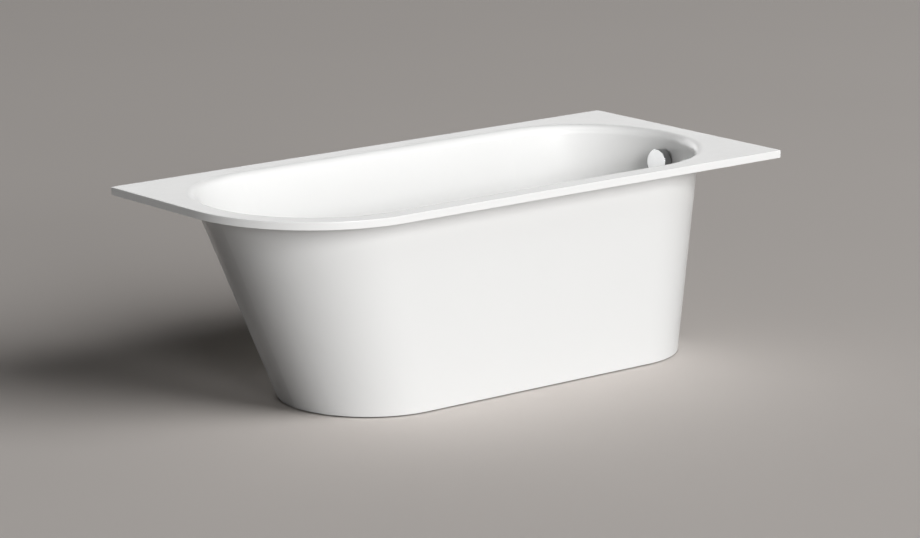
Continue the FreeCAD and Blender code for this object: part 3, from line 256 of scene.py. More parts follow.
class Shader(Nodes):
    """Material around one principled surface, with patterns on the object's coordinates."""

    def __init__(self, name: str) -> None:
        """Makes an empty material.

        Args:
            name: Name of the material.
        """
        self.material = bpy.data.materials.new(name)
        self.material.use_nodes = True
        super().__init__(self.material.node_tree)
        self.surface = self.tree.nodes["Principled BSDF"]
        self.place = self.node("ShaderNodeTexCoord").outputs["Object"]

    def noise(self, grain: Grain) -> Socket:
        """Lays soft noise on the object's coordinates.

        Args:
            grain: The noise's measures.

        Returns:
            The noise's value, from 0 to 1.
        """
        mapping = self.node("ShaderNodeMapping")
        mapping.inputs["Scale"].default_value = grain.stretch
        self.join(self.place, mapping.inputs["Vector"])
        made = self.node("ShaderNodeTexNoise")
        made.inputs["Scale"].default_value = grain.scale
        made.inputs["Detail"].default_value = grain.detail
        self.join(mapping.outputs["Vector"], made.inputs["Vector"])
        return made.outputs["Fac"]

    def cells(self, scale: float) -> Socket:
        """Gives each cell of a cell pattern a random value.

        Args:
            scale: Cells to the metre.

        Returns:
            The cell's value, from 0 to 1.
        """
        made = self.node("ShaderNodeTexVoronoi")
        made.inputs["Scale"].default_value = scale
        self.join(self.place, made.inputs["Vector"])
        split = self.node("ShaderNodeSeparateColor")
        self.join(made.outputs["Color"], split.inputs["Color"])
        return split.outputs["Red"]

    def bump(self, height: Socket, depth: float, share: float) -> None:
        """Raises the surface by a height pattern.

        Args:
            height: Pattern from 0 to 1.
            depth: Depth of the pattern in metres.
            share: Share of the effect.
        """
        made = self.node("ShaderNodeBump")
        made.inputs["Distance"].default_value = depth
        made.inputs["Strength"].default_value = share
        self.join(height, made.inputs["Height"])
        self.join(made.outputs["Normal"], self.surface.inputs["Normal"])

    def metal(self) -> None:
        """Makes the surface metal."""
        self.surface.inputs["Metallic"].default_value = 1.0

    def colour(self, source: Socket) -> None:
        """Gives the surface its colour."""
        self.join(source, self.surface.inputs["Base Color"])

    def roughness(self, source: Socket) -> None:
        """Gives the surface its roughness."""
        self.join(source, self.surface.inputs["Roughness"])

    def facing(self, axis: Axis) -> Socket:
        """Part of the surface's normal along one axis, from -1 to 1."""
        return self.part(self.node("ShaderNodeNewGeometry").outputs["Normal"], axis)

    def height(self) -> Socket:
        """Height above the floor, in metres."""
        return self.part(self.place, Axis.Z)


@dataclass(frozen=True)
class SanitaryAcrylic:
    """White formed acrylic: gloss on one side, a sprayed fibre backing on the other.

    The backing covers the far side of leaning walls up to the deck, and faces that look straight away
    from the gloss.
    """

    name: str
    glazed: GlazedSide
    white: Colour = (0.88, 0.88, 0.872)
    white_shift: Colour = (0.868, 0.868, 0.86)
    cloud: Grain = Grain(2.5, 3.0)
    backing: Colour = (0.62, 0.60, 0.54)
    backing_dark: Colour = (0.46, 0.44, 0.38)
    backing_top: float = 0.587
    backing_edge: float = 0.0005
    wall_turn: Range = (0.03, 0.05)
    under_turn: Range = (-0.95, -0.9)
    strands: Grain = Grain(90.0, 4.0, (1.0, 0.25, 1.0))
    crossed: Grain = Grain(90.0, 4.0, (0.25, 1.0, 1.0))
    fibre_tones: Range = (0.12, 0.38)
    wipe: Grain = Grain(14.0, 3.0)
    wipe_tones: Range = (0.3, 0.7)
    gloss_rough: Range = (0.2, 0.27)
    backing_rough: float = 0.7
    peel: Grain = Grain(120.0, 1.0)
    peel_share: float = 0.06
    relief: float = 0.0012
    relief_share: float = 0.5

    def backed(self, shader: Shader) -> Socket:
        """Tells the backing from the gloss.

        Args:
            shader: Material to work in.

        Returns:
            1 on the backing, 0 on the gloss.
        """
        facing = shader.math("MULTIPLY", shader.facing(Axis.Z), self.glazed.value)
        behind = shader.span(facing, self.wall_turn, FALL)
        below = shader.span(shader.height(), (self.backing_top, self.backing_top + self.backing_edge), FALL)
        under = shader.span(facing, self.under_turn, FALL)
        return shader.math("MAXIMUM", shader.math("MULTIPLY", behind, below), under)

    def material(self) -> bpy.types.Material:
        """Builds the finish.

        Returns:
            Its material.
        """
        shader = Shader(self.name)
        mask = self.backed(shader)
        gloss = shader.mixed(MixKind.COLOUR, shader.noise(self.cloud), self.white, self.white_shift)
        fibres = shader.math("MULTIPLY", shader.noise(self.strands), shader.noise(self.crossed))
        tones = shader.span(fibres, self.fibre_tones, RISE)
        back = shader.mixed(MixKind.COLOUR, tones, self.backing_dark, self.backing)
        shader.colour(shader.mixed(MixKind.COLOUR, mask, gloss, back))
        wiped = shader.span(shader.noise(self.wipe), self.wipe_tones, self.gloss_rough)
        shader.roughness(shader.mixed(MixKind.NUMBER, mask, wiped, self.backing_rough))
        peel = shader.math("MULTIPLY", shader.noise(self.peel), self.peel_share)
        relief = shader.mixed(MixKind.NUMBER, mask, peel, fibres)
        shader.bump(relief, self.relief, self.relief_share)
        return shader.material


@dataclass(frozen=True)
class Plywood:
    """Bare plywood: long grain on its faces and layered plies on its edges."""

    name: str = "plywood"
    pale: Colour = (0.62, 0.46, 0.28)
    dark: Colour = (0.42, 0.28, 0.15)
    grain: Grain = Grain(60.0, 5.0, (0.06, 1.0, 1.0))
    grain_tones: Range = (0.3, 0.7)
    ply: float = 0.0016
    ply_tones: Range = (-0.25, 0.25)
    face_turn: Range = (0.4, 0.6)
    rough_tones: Range = (0.2, 0.8)
    rough: Range = (0.55, 0.75)
    relief: float = 0.0006
    relief_share: float = 0.4

    def material(self) -> bpy.types.Material:
        """Builds the finish.

        Returns:
            Its material.
        """
        shader = Shader(self.name)
        grain = shader.noise(self.grain)
        streaks = shader.span(grain, self.grain_tones, RISE)
        face = shader.mixed(MixKind.COLOUR, streaks, self.dark, self.pale)
        layers = shader.math("SINE", shader.math("MULTIPLY", shader.height(), math.pi / self.ply))
        plies = shader.span(layers, self.ply_tones, RISE)
        edge = shader.mixed(MixKind.COLOUR, plies, self.dark, self.pale)
        flat = shader.span(shader.math("ABSOLUTE", shader.facing(Axis.Z)), self.face_turn, RISE)
        shader.colour(shader.mixed(MixKind.COLOUR, flat, edge, face))
        shader.roughness(shader.span(grain, self.rough_tones, self.rough))
        shader.bump(grain, self.relief, self.relief_share)
        return shader.material


@dataclass(frozen=True)
class ZincPlate:
    """Zinc-plated steel with a faint crystal pattern and drawn lines."""

    name: str = "zinc_plate"
    pale: Colour = (0.66, 0.68, 0.70)
    dark: Colour = (0.50, 0.52, 0.55)
    crystals: float = 120.0
    lines: Grain = Grain(400.0, 2.0, (1.0, 0.05, 0.4))
    line_tones: Range = (0.25, 0.75)
    rough: Range = (0.28, 0.45)
    relief: float = 0.0002
    relief_share: float = 0.25

    def material(self) -> bpy.types.Material:
        """Builds the finish.

        Returns:
            Its material.
        """
        shader = Shader(self.name)
        shader.metal()
        shader.colour(shader.mixed(MixKind.COLOUR, shader.cells(self.crystals), self.dark, self.pale))
        lines = shader.noise(self.lines)
        shader.roughness(shader.span(lines, self.line_tones, self.rough))
        shader.bump(lines, self.relief, self.relief_share)
        return shader.material


@dataclass(frozen=True)
class PolishedChrome:
    """Bright chrome with the faint haze of handling. An optional side tone is painted shade that darkens the
    walls that run along X.
    """

    name: str = "polished_chrome"
    bright: Colour = (0.87, 0.875, 0.885)
    haze: Colour = (0.81, 0.815, 0.825)
    # Painted shade: darker chrome colour for the walls along X, standing in for dark reflections; None for
    # none.
    side: Colour | None = None
    painted_shade_turn: Range = (0.3, 0.6)
    smudge: Grain = Grain(35.0, 4.0)
    smudge_tones: Range = (0.35, 0.75)
    rough: Range = (0.04, 0.10)

    def material(self) -> bpy.types.Material:
        """Builds the finish.

        Returns:
            Its material.
        """
        shader = Shader(self.name)
        shader.metal()
        smudge = shader.noise(self.smudge)
        tone = shader.mixed(MixKind.COLOUR, smudge, self.bright, self.haze)
        if self.side is not None:
            # Painted shade: walls whose normals turn away from X take the side colour.
            clear_of_painted_shade = shader.span(shader.math("ABSOLUTE", shader.facing(Axis.X)), self.painted_shade_turn, RISE)
            tone = shader.mixed(MixKind.COLOUR, clear_of_painted_shade, self.side, tone)
        shader.colour(tone)
        shader.roughness(shader.span(smudge, self.smudge_tones, self.rough))
        return shader.material


@dataclass(frozen=True)
class MouldedPlastic:
    """Injection-moulded plastic with a fine spark-eroded grain."""

    name: str
    tone: Colour
    shift: Colour
    rough: Range = (0.38, 0.5)
    cloud: Grain = Grain(30.0, 3.0)
    spark: Grain = Grain(900.0, 2.0)
    spark_tones: Range = (0.3, 0.7)
    relief: float = 0.00015
    relief_share: float = 0.4

    def material(self) -> bpy.types.Material:
        """Builds the finish.

        Returns:
            Its material.
        """
        shader = Shader(self.name)
        shader.colour(shader.mixed(MixKind.COLOUR, shader.noise(self.cloud), self.tone, self.shift))
        spark = shader.noise(self.spark)
        shader.roughness(shader.span(spark, self.spark_tones, self.rough))
        shader.bump(spark, self.relief, self.relief_share)
        return shader.material


@dataclass(frozen=True)
class StudioFloor:
    """Pale warm-grey studio floor that throws little light back."""

    name: str = "studio_floor"
    tone: Colour = (0.72, 0.676, 0.642)
    shift: Colour = (0.695, 0.652, 0.62)
    thrown: Colour = (0.3, 0.288, 0.279)
    cloud: Grain = Grain(0.6, 2.0)
    rough: float = 0.7

    def material(self) -> bpy.types.Material:
        """Builds the finish.

        Returns:
            Its material.
        """
        shader = Shader(self.name)
        pale = shader.mixed(MixKind.COLOUR, shader.noise(self.cloud), self.tone, self.shift)
        shader.colour(shader.mixed(MixKind.COLOUR, shader.seen(), self.thrown, pale))
        shader.surface.inputs["Roughness"].default_value = self.rough
        shader.surface.inputs["Specular IOR Level"].default_value = 0.0
        return shader.material


class Bench:
    """Hand operations on meshes: each works on the one piece that is selected."""

    @staticmethod
    def clear() -> None:
        """Leaves edit mode and deselects every object."""
        if bpy.context.object is not None and bpy.context.object.mode != "OBJECT":
            bpy.ops.object.mode_set(mode="OBJECT")
        bpy.ops.object.select_all(action="DESELECT")

    @staticmethod
    def pick(piece: bpy.types.Object) -> None:
        """Selects one piece alone and makes it active.

        Args:
            piece: Piece to select.
        """
        Bench.clear()
        piece.select_set(True)
        bpy.context.view_layer.objects.active = piece

    @staticmethod
    def merge() -> None:
        """Merges points that fall together, in edit mode."""
        bpy.ops.mesh.select_all(action="SELECT")
        bpy.ops.mesh.remove_doubles(threshold=MERGE_DISTANCE)

    @staticmethod
    def settle() -> None:
        """Puts the selected piece's place, turn and size into its mesh."""
        bpy.ops.object.transform_apply(location=True, rotation=True, scale=True)

    @staticmethod
    def turned(name: str, base: Vector, axis: Vector, profile: list[tuple[float, float]],
               steps: int) -> bpy.types.Object:
        """Turns a profile about an axis.

        Args:
            name: Name of the piece.
            base: Point on the axis from which heights count.
            axis: Direction of the axis.
            profile: Pairs of radius and height, from one end of the axis to the other.
            steps: Steps round the axis.

        Returns:
            The closed piece.
        """
        Bench.clear()
        side = axis.orthogonal().normalized()
        points = [base + side * radius + axis * height for radius, height in profile]
        bpy.ops.mesh.primitive_plane_add(size=SEED_SIZE, location=points[0])
        piece = bpy.context.object
        piece.name = name
        Bench.settle()
        bpy.ops.object.mode_set(mode="EDIT")
        bpy.ops.mesh.select_all(action="SELECT")
        bpy.ops.mesh.merge(type="CENTER")
        for here, there in zip(points, points[1:]):
            bpy.ops.mesh.extrude_region_move(TRANSFORM_OT_translate={"value": there - here})
        bpy.ops.mesh.select_all(action="SELECT")
        bpy.ops.mesh.spin(steps=steps, angle=math.tau, center=base, axis=axis)
        Bench.merge()
        bpy.ops.mesh.normals_make_consistent(inside=False)
        bpy.ops.object.mode_set(mode="OBJECT")
        return piece

    @staticmethod
    def cut(piece: bpy.types.Object, cutter: bpy.types.Object) -> None:
        """Cuts one piece out of another and removes the cutter.

        Args:
            piece: Piece that is cut.
            cutter: Piece that is taken out of it.
        """
        Bench.pick(piece)
        modifier = piece.modifiers.new("cut", "BOOLEAN")
        modifier.operation = "DIFFERENCE"
        modifier.object = cutter
        bpy.ops.object.modifier_apply(modifier=modifier.name)
        bpy.data.objects.remove(cutter, do_unlink=True)

    @staticmethod
    def copied(piece: bpy.types.Object, pivot: Vector, turn: Quaternion, target: Vector) -> bpy.types.Object:
        """Copies a piece, with a mesh of its own, to another place.

        Args:
            piece: Piece to copy.
            pivot: Point of the piece that goes to the target.
            turn: Turn about that point.
            target: Where the point goes.

        Returns:
            The copy.
        """
        Bench.pick(piece)
        bpy.ops.object.duplicate()
        copy = bpy.context.object
        copy.location = target - turn @ pivot
        copy.rotation_euler = turn.to_euler()
        Bench.settle()
        return copy

    @staticmethod
    def smooth(piece: bpy.types.Object, angle: float = 30.0) -> None:
        """Smooths the shading except at edges sharper than the angle in degrees."""
        Bench.pick(piece)
        bpy.ops.object.shade_smooth_by_angle(angle=math.radians(angle))

    @staticmethod
    def joined(name: str, pieces: list[bpy.types.Object]) -> bpy.types.Object:
        """Joins pieces into one.

        Args:
            name: Name of the whole.
            pieces: Pieces to join.

        Returns:
            The whole.
        """
        Bench.clear()
        for piece in pieces:
            piece.select_set(True)
        whole = pieces[0]
        bpy.context.view_layer.objects.active = whole
        bpy.ops.object.join()
        whole.name = name
        whole.data.name = name
        return whole


class Dresser:
    """Gives finishes to CAD nodes and sets new pieces in their places."""

    def __init__(self) -> None:
        """Builds every shared finish once."""
        rubber = MouldedPlastic("seal_rubber", (0.03, 0.03, 0.03), (0.045, 0.045, 0.045), (0.6, 0.75))
        pipe = MouldedPlastic("white_pipe", (0.80, 0.80, 0.78), (0.76, 0.76, 0.74))
        grey = MouldedPlastic("grey_plastic", (0.16, 0.165, 0.175), (0.20, 0.205, 0.215))
        black = MouldedPlastic("black_plastic", (0.02, 0.02, 0.02), (0.03, 0.03, 0.03))
        self.finishes: dict[Slot, bpy.types.Material] = {
            Slot.PLYWOOD: Plywood().material(),
            Slot.ZINC: ZincPlate().material(),
            Slot.CHROME: PolishedChrome().material(),
            Slot.RUBBER: rubber.material(),
            Slot.PIPE: pipe.material(),
            Slot.GREY: grey.material(),
            Slot.BLACK: black.material(),
        }
        self.done: set[str] = set()

    def dress(self, node: str, material: bpy.types.Material) -> None:
        """Gives a CAD node its material.

        Args:
            node: Name of the node.
            material: Its finish.
        """
        piece = frame["nodes"][node]
        if not piece.material_slots:
            piece.data.materials.append(material)
        for place in piece.material_slots:
            place.material = material
        self.done.add(node)
        LOG.info("%s takes %s", node, material.name)

    def dress_slot(self, nodes: tuple[str, ...], slot: Slot) -> None:
        """Gives several CAD nodes the finish of one slot."""
        for node in nodes:
            self.dress(node, self.finishes[slot])

    def place(self, piece: bpy.types.Object, node: str, slot: Slot,
              finish: bpy.types.Material | None = None) -> None:
        """Sets a new piece in a CAD node's place.

        Args:
            piece: The new piece, already where the node is.
            node: Node that the piece stands for.
            slot: Slot of its finish.
            finish: Material of its own, where the slot's finish isn't right.
        """
        piece.data.materials.clear()
        piece.data.materials.append(finish or self.finishes[slot])
        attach(piece, frame["nodes"][node]["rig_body"])
        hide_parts(node)
        self.done.add(node)
        LOG.info("%s stands for %s", piece.name, node)


@dataclass
class Tub:
    """Formed shell and apron panel, the battens under the rim and the board under the basin."""

    shell: str = "bath_shell"
    apron: str = "apron_panel"
    boards: tuple[str, ...] = ("rim_batten_head", "rim_batten_front", "rim_batten_back", "rim_batten_foot",
                               "base_board")

    def dress(self, dresser: Dresser) -> None:
        """Gives shell, apron and boards their finishes.

        Args:
            dresser: Holder of the finishes.
        """
        dresser.dress(self.shell, SanitaryAcrylic("shell_acrylic", GlazedSide.UPPER).material())
        dresser.dress(self.apron, SanitaryAcrylic("apron_acrylic", GlazedSide.LOWER).material())
        dresser.dress_slot(self.boards, Slot.PLYWOOD)


@dataclass(frozen=True)
class ScrewPlace:
    """Top of a screw's head, the direction out of it, the whole length and the head's radius."""

    top: Vector
    out: Vector
    length: float
    radius: float

    def stance(self) -> Quaternion:
        """Turn from an upright screw to this one."""
        return self.out.to_track_quat("Z", "Y")


@dataclass
class Screws:
    """Pan-head screws with a closed driver slot, in the places of one CAD group.

    The crown gives shares of the head's radius with their depths under its top.
    """

    node: str
    crown: tuple[Range, ...] = ((0.55, 0.0001), (0.82, 0.0006), (0.96, 0.0014), (1.0, 0.0019))
    head: float = 0.0024
    head_share: float = 0.9
    shank: float = 0.002
    point: float = 0.0015
    point_share: float = 0.2
    slot_long: float = 0.0052
    slot_wide: float = 0.0011
    slot_deep: float = 0.0014
    steps: int = 32

    def places(self) -> list[ScrewPlace]:
        """Finds each screw of the group.

        Returns:
            The screws' places, in order.
        """
        Bench.pick(frame["nodes"][self.node])
        bpy.ops.object.duplicate()
        bpy.ops.object.mode_set(mode="EDIT")
        Bench.merge()
        bpy.ops.mesh.separate(type="LOOSE")
        bpy.ops.object.mode_set(mode="OBJECT")
        found = []
        for part in list(bpy.context.selected_objects):
            found.append(self.measured([vertex.co.copy() for vertex in part.data.vertices]))
            bpy.data.objects.remove(part, do_unlink=True)
        return sorted(found, key=lambda place: tuple(place.top))

    def measured(self, points: list[Vector]) -> ScrewPlace:
        """Works out where a screw sits from its CAD solid.

        Args:
            points: Points of the solid.

        Returns:
            The screw's place.
        """
        low = Vector([min(point[i] for point in points) for i in range(3)])
        high = Vector([max(point[i] for point in points) for i in range(3)])
        size = high - low
        middle = (low + high) / 2
        along = max(range(3), key=lambda i: size[i])
        axis = Vector([float(i == along) for i in range(3)])
        radius = max(size[i] for i in range(3) if i != along) / 2
        arms = [point - middle for point in points]
        wide = [arm for arm in arms if (arm - axis * arm.dot(axis)).length > radius * self.head_share]
        out = axis if sum(arm.dot(axis) for arm in wide) > 0.0 else -axis
        return ScrewPlace(middle + out * size[along] / 2, out, size[along], radius)

    def model(self, place: ScrewPlace) -> bpy.types.Object:
        """Models one screw.

        Args:
            place: Where it sits.

        Returns:
            The screw.
        """
        profile = [
            (0.0, 0.0), *[(place.radius * share, -depth) for share, depth in self.crown],
            (place.radius, -self.head), (self.shank, -self.head), (self.shank, self.point - place.length),
            (self.shank * self.point_share, -place.length), (0.0, -place.length),
        ]
        screw = Bench.turned("screw", place.top, place.out, profile, self.steps)
        Bench.clear()
        bpy.ops.mesh.primitive_cube_add(size=1.0, location=place.top)
        bar = bpy.context.object
        bar.rotation_euler = place.stance().to_euler()
        bar.scale = (self.slot_long, self.slot_wide, self.slot_deep * 2)
        Bench.settle()
        Bench.cut(screw, bar)
        return screw

    def build(self, dresser: Dresser) -> None:
        """Models one screw and copies it to the group's other places.

        Args:
            dresser: Setter of new pieces.
        """
        first, *others = self.places()
        screws = [self.model(first)]
        for place in others:
            turn = place.stance() @ first.stance().inverted()
            screws.append(Bench.copied(screws[0], first.top, turn, place.top))
        piece = Bench.joined(f"{self.node}_driven", screws)
        Bench.smooth(piece)
        dresser.place(piece, self.node, Slot.ZINC)


@dataclass
class Studs:
    """Threaded levelling studs in the places of their CAD nodes, which are all alike.

    The crest gives the shares of the pitch between which the thread is at its widest.
    """

    nodes: tuple[str, ...]
    pitch: float = 0.00175
    depth: float = 0.0009
    crest: Range = (0.42, 0.58)
    chamfer: float = 0.001
    taper: float = 0.0002
    play: float = 0.00002
    steps: int = 24
    sharp_angle: float = 25.0

    def foot(self, node: str) -> Vector:
        """Middle of a stud's lower end."""
        low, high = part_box(node)
        return Vector(((low.x + high.x) / 2, (low.y + high.y) / 2, low.z))

    def model(self, node: str) -> bpy.types.Object:
        """Models one stud with its thread.

        Args:
            node: Node whose place it takes.

        Returns:
            The stud.
        """
        low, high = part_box(node)
        radius = (high.x - low.x) / 2 - self.play
        root = radius - self.depth
        length = high.z - low.z
        turns = int((length - 2 * self.chamfer) / self.pitch)
        start = (length - turns * self.pitch) / 2
        profile = [(0.0, 0.0), (root - self.taper, 0.0), (root, start)]
        for turn in range(turns):
            height = start + turn * self.pitch
            profile += [(radius, height + self.pitch * share) for share in self.crest]
            profile.append((root, height + self.pitch))
        profile += [(root - self.taper, length), (0.0, length)]
        stud = Bench.turned(f"{node}_thread", self.foot(node), Vector((0.0, 0.0, 1.0)), profile, self.steps)
        Bench.smooth(stud, self.sharp_angle)
        return stud

    def build(self, dresser: Dresser) -> None:
        """Models the first stud and copies it to the others' places.

        Args:
            dresser: Setter of new pieces.
        """
        first, *others = self.nodes
        studs = {first: self.model(first)}
        for node in others:
            studs[node] = Bench.copied(studs[first], self.foot(first), Quaternion(), self.foot(node))
            studs[node].name = f"{node}_thread"
        for node, stud in studs.items():
            dresser.place(stud, node, Slot.ZINC)


@dataclass
class Carriage:
    """Rails, levelling feet, panel brackets and wall brackets."""

    ends: tuple[str, ...] = ("head", "foot")
    sides: tuple[str, ...] = ("front", "back")
    plates: tuple[str, ...] = ("support_rail", "panel_bracket", "wall_bracket")
    groups: tuple[str, ...] = ("rail_screws", "panel_bracket_screws", "panel_screws", "wall_bracket_screws")

    def feet(self, kind: str) -> tuple[str, ...]:
        """Names of the four nodes of one kind of foot piece."""
        return tuple(f"{kind}_{end}_{side}" for end in self.ends for side in self.sides)

    def build(self, dresser: Dresser) -> None:
        """Models screws and studs.

        Args:
            dresser: Setter of new pieces.
        """
        for group in self.groups:
            Screws(group).build(dresser)
        Studs(self.feet("foot_stud")).build(dresser)

    def dress(self, dresser: Dresser) -> None:
        """Gives sheet steel, nuts and pads their finishes.

        Args:
            dresser: Holder of the finishes.
        """
        plates = tuple(f"{plate}_{end}" for plate in self.plates for end in self.ends)
        dresser.dress_slot((*plates, "foot_nuts"), Slot.ZINC)
        dresser.dress_slot(self.feet("foot_pad"), Slot.BLACK)


@dataclass
class Waste:
    """Pop-up waste in the basin floor, its lever and the trap."""

    chrome: tuple[str, ...] = ("waste_flange", "waste_plug")
    steel: tuple[str, ...] = ("plug_stem", "lever_pin")
    rubber: tuple[str, ...] = ("waste_seal_upper", "waste_seal_lower", "plug_seal")
    pipe: tuple[str, ...] = ("waste_body", "trap_bend", "trap_outlet")
    grey: tuple[str, ...] = ("lift_lever", "trap_nut", "outlet_nut")

    def dress(self, dresser: Dresser) -> None:
        """Gives the waste its finishes.

        Args:
            dresser: Holder of the finishes.
        """
        dresser.dress_slot(self.chrome, Slot.CHROME)
        dresser.dress_slot(self.steel, Slot.ZINC)
        dresser.dress_slot(self.rubber, Slot.RUBBER)
        dresser.dress_slot(self.pipe, Slot.PIPE)
        dresser.dress_slot(self.grey, Slot.GREY)


@dataclass
class Overflow:
    """Turning overflow knob, its grille and spindle, the body behind the wall and the pipe."""

    knob: str = "overflow_knob"
    knob_body: str = "knob"
    edge_round: float = 0.0016
    edge_steps: int = 5
    rear_chamfer: float = 0.0004
    wall: float = 0.003
    face: float = 0.004
    hub: float = 0.009
    bore: float = 0.00505
    steps: int = 128
    # Painted shade for the knob's side walls, in place of dark reflections.
    painted_side_shade: Colour = (0.4, 0.4, 0.405)
    chrome: tuple[str, ...] = ("overflow_flange",)
    steel: tuple[str, ...] = ("knob_spindle",)
    grey: tuple[str, ...] = ("cable_drum", "pipe_nut_upper", "pipe_nut_lower")
    rubber: tuple[str, ...] = ("overflow_seal",)
    pipe: tuple[str, ...] = ("overflow_body", "overflow_pipe")

    def profile(self, radius: float, rear: float, front: float) -> list[tuple[float, float]]:
        """Draws the knob's half section: rounded front edge, hollow rear and hub.

        Args:
            radius: Radius of the knob.
            rear: Height of its rear edge along the axis.
            front: Height of its front face.

        Returns:
            Pairs of radius and height, from the middle of the face to the middle of the hollow.
        """
        angles = [math.radians(90.0 - 90.0 * step / self.edge_steps) for step in range(self.edge_steps + 1)]
        edge = [(radius - self.edge_round * (1.0 - math.cos(angle)),
                 front - self.edge_round * (1.0 - math.sin(angle))) for angle in angles]
        inside, back = radius - self.wall, front - self.face
        return [
            (0.0, front), *edge, (radius, rear + self.rear_chamfer), (radius - self.rear_chamfer, rear),
            (inside, rear), (inside, back), (self.hub, back), (self.hub, rear), (self.bore, rear),
            (self.bore, back), (0.0, back),
        ]

    def build(self, dresser: Dresser) -> None:
        """Models the knob with rounded edges and painted shade on its side.

        Args:
            dresser: Setter of new pieces.
        """
        joint = next(item for item in frame["joints"] if item["child"] == self.knob_body)
        base = Vector(joint["pos_m"])
        axis = Vector(joint["axis"]).normalized()
        low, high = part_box(self.knob)
        radius = (high.y - low.y) / 2
        heights = [(vertex.co - base).dot(axis) for vertex in frame["nodes"][self.knob].data.vertices]
        profile = self.profile(radius, min(heights), max(heights))
        piece = Bench.turned("knob_cap", base, axis, profile, self.steps)
        Bench.smooth(piece)
        # The knob's chrome carries painted shade on its side.
        finish = PolishedChrome("knob_chrome", side=self.painted_side_shade).material()
        dresser.place(piece, self.knob, Slot.CHROME, finish)

    def dress(self, dresser: Dresser) -> None:
        """Gives the overflow its finishes.

        Args:
            dresser: Holder of the finishes.
        """
        dresser.dress_slot(self.chrome, Slot.CHROME)
        dresser.dress_slot(self.steel, Slot.ZINC)
        dresser.dress_slot(self.grey, Slot.GREY)
        dresser.dress_slot(self.rubber, Slot.RUBBER)
        dresser.dress_slot(self.pipe, Slot.PIPE)


@dataclass(frozen=True)
class SoftBox:
    """Square studio lamp that looks at the bath from far off.

    Azimuth, elevation and spread are in degrees. The level is what a white wall that faces the lamp shows.
    """

    name: str
    azimuth: float
    elevation: float
    spread: float
    level: float
    reach: Reach = Reach.ALL
    distance: float = 50.0

    def build(self, floor: bpy.types.Object) -> None:
        """Hangs the lamp.

        Args:
            floor: Floor that flags keep the lamp off or on.
        """
        across, up = math.radians(self.azimuth), math.radians(self.elevation)
        way = Vector((math.sin(across) * math.cos(up), -math.cos(across) * math.cos(up), math.sin(up)))
        light = bpy.data.lights.new(self.name, "AREA")
        light.shape = "SQUARE"
        light.size = 2.0 * self.distance * math.tan(math.radians(self.spread) / 2)
        light.energy = self.level * (math.pi * self.distance) ** 2
        lamp = bpy.data.objects.new(self.name, light)
        lamp.location = way * self.distance
        lamp.rotation_euler = (-way).to_track_quat("-Z", "Y").to_euler()
        bpy.context.scene.collection.objects.link(lamp)
        if self.reach is not Reach.ALL:
            flags = bpy.data.collections.new(f"{self.name}_flags")
            flags.objects.link(floor)
            flags.collection_objects[0].light_linking.link_state = self.reach.value
            lamp.light_linking.receiver_collection = flags


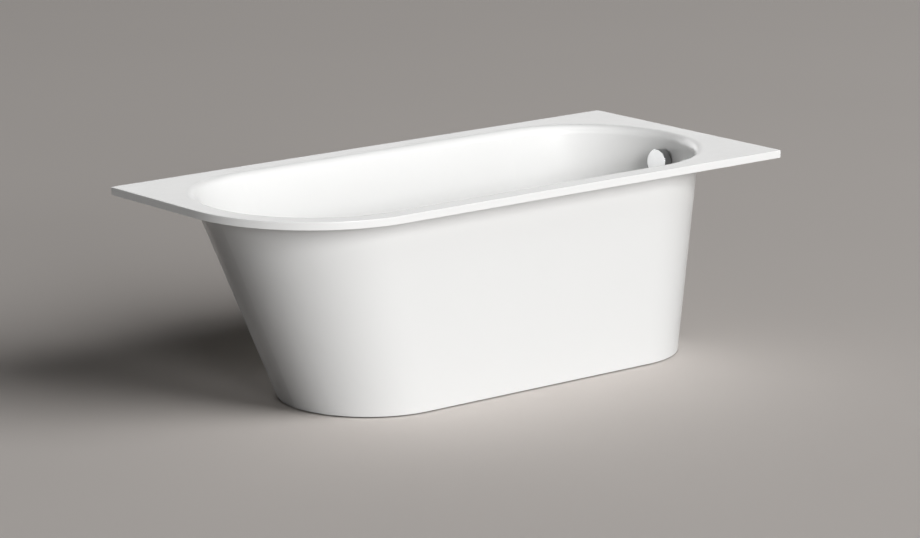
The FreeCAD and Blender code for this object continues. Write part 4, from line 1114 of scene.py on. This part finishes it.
@dataclass
class Studio:
    """Pale floor, soft light and the camera."""

    floor_side: float = 80.0
    sky: float = 0.02
    walls: Colour = (0.95, 0.945, 0.935)
    ceiling: Colour = (0.04, 0.04, 0.04)
    wall_top: Range = (0.42, 0.62)
    lamps: tuple[SoftBox, ...] = (
        SoftBox("key_box", -3.0, 25.0, 26.0, 0.75, Reach.BATH),
        SoftBox("low_fill", -14.0, 8.0, 18.0, 0.295),
        SoftBox("floor_box", 28.0, 27.0, 44.0, 1.12, Reach.FLOOR),
        SoftBox("top_box", 0.0, 72.0, 40.0, 0.26, Reach.BATH),
        SoftBox("rim_sheen", 152.0, 12.0, 50.0, 0.07, Reach.BATH),
        SoftBox("back_fill", 178.0, 10.0, 44.0, 0.36, Reach.BATH),
    )
    eye: Triple = (-6.8041, -8.2481, 2.8108)
    yaw: float = 39.594
    pitch: float = 13.133
    roll: float = -0.09
    lens: float = 150.71
    sensor: float = 36.0
    sight: float = 200.0

    def build(self) -> None:
        """Sets floor, lamps, world and camera."""
        floor = self.floor()
        for lamp in self.lamps:
            lamp.build(floor)
        self.world()
        self.camera()

    def floor(self) -> bpy.types.Object:
        """Lays the floor under the feet.

        Returns:
            The floor.
        """
        Bench.clear()
        bpy.ops.mesh.primitive_plane_add(size=self.floor_side)
        floor = bpy.context.object
        floor.name = "studio_floor"
        floor.data.materials.append(StudioFloor().material())
        return floor

    def world(self) -> None:
        """Lights the surroundings dimly, and shows a room with pale walls to camera, gloss and glass."""
        world = bpy.data.worlds.new("studio")
        bpy.context.scene.world = world
        world.use_nodes = True
        nodes = Nodes(world.node_tree)
        nodes.tree.nodes.clear()
        way = nodes.node("ShaderNodeTexCoord").outputs["Generated"]
        above = nodes.span(nodes.part(way, Axis.Z), self.wall_top, RISE, Ease.SOFT)
        light = nodes.node("ShaderNodeBackground")
        nodes.feed(WHITE, light.inputs["Color"])
        nodes.feed(self.sky, light.inputs["Strength"])
        shown = nodes.node("ShaderNodeBackground")
        nodes.join(nodes.mixed(MixKind.COLOUR, above, self.walls, self.ceiling), shown.inputs["Color"])
        mix = nodes.node("ShaderNodeMixShader")
        for place, source in enumerate((nodes.seen(), light.outputs[0], shown.outputs[0])):
            nodes.join(source, mix.inputs[place])
        nodes.join(mix.outputs[0], nodes.node("ShaderNodeOutputWorld").inputs["Surface"])

    def camera(self) -> None:
        """Sets the camera where the photograph was taken."""
        lens = bpy.data.cameras.new("photo_camera")
        lens.sensor_width = self.sensor
        lens.lens = self.lens
        lens.clip_end = self.sight
        camera = bpy.data.objects.new("photo_camera", lens)
        camera.location = self.eye
        turns = (90.0 - self.pitch, self.roll, -self.yaw)
        camera.rotation_euler = Euler([math.radians(turn) for turn in turns], "XYZ")
        bpy.context.scene.collection.objects.link(camera)
        bpy.context.scene.camera = camera


def main() -> None:
    """Builds and dresses the bath, then sets the studio."""
    logging.basicConfig(level=logging.INFO, format="%(name)s: %(message)s")
    bpy.context.scene.view_settings.view_transform = "Standard"
    dresser = Dresser()
    Tub().dress(dresser)
    carriage = Carriage()
    carriage.build(dresser)
    carriage.dress(dresser)
    Waste().dress(dresser)
    overflow = Overflow()
    overflow.build(dresser)
    overflow.dress(dresser)
    LOG.info("nodes without a finish: %s", sorted(set(frame["nodes"]) - dresser.done))
    Studio().build()


if __name__ == "__main__":
    main()
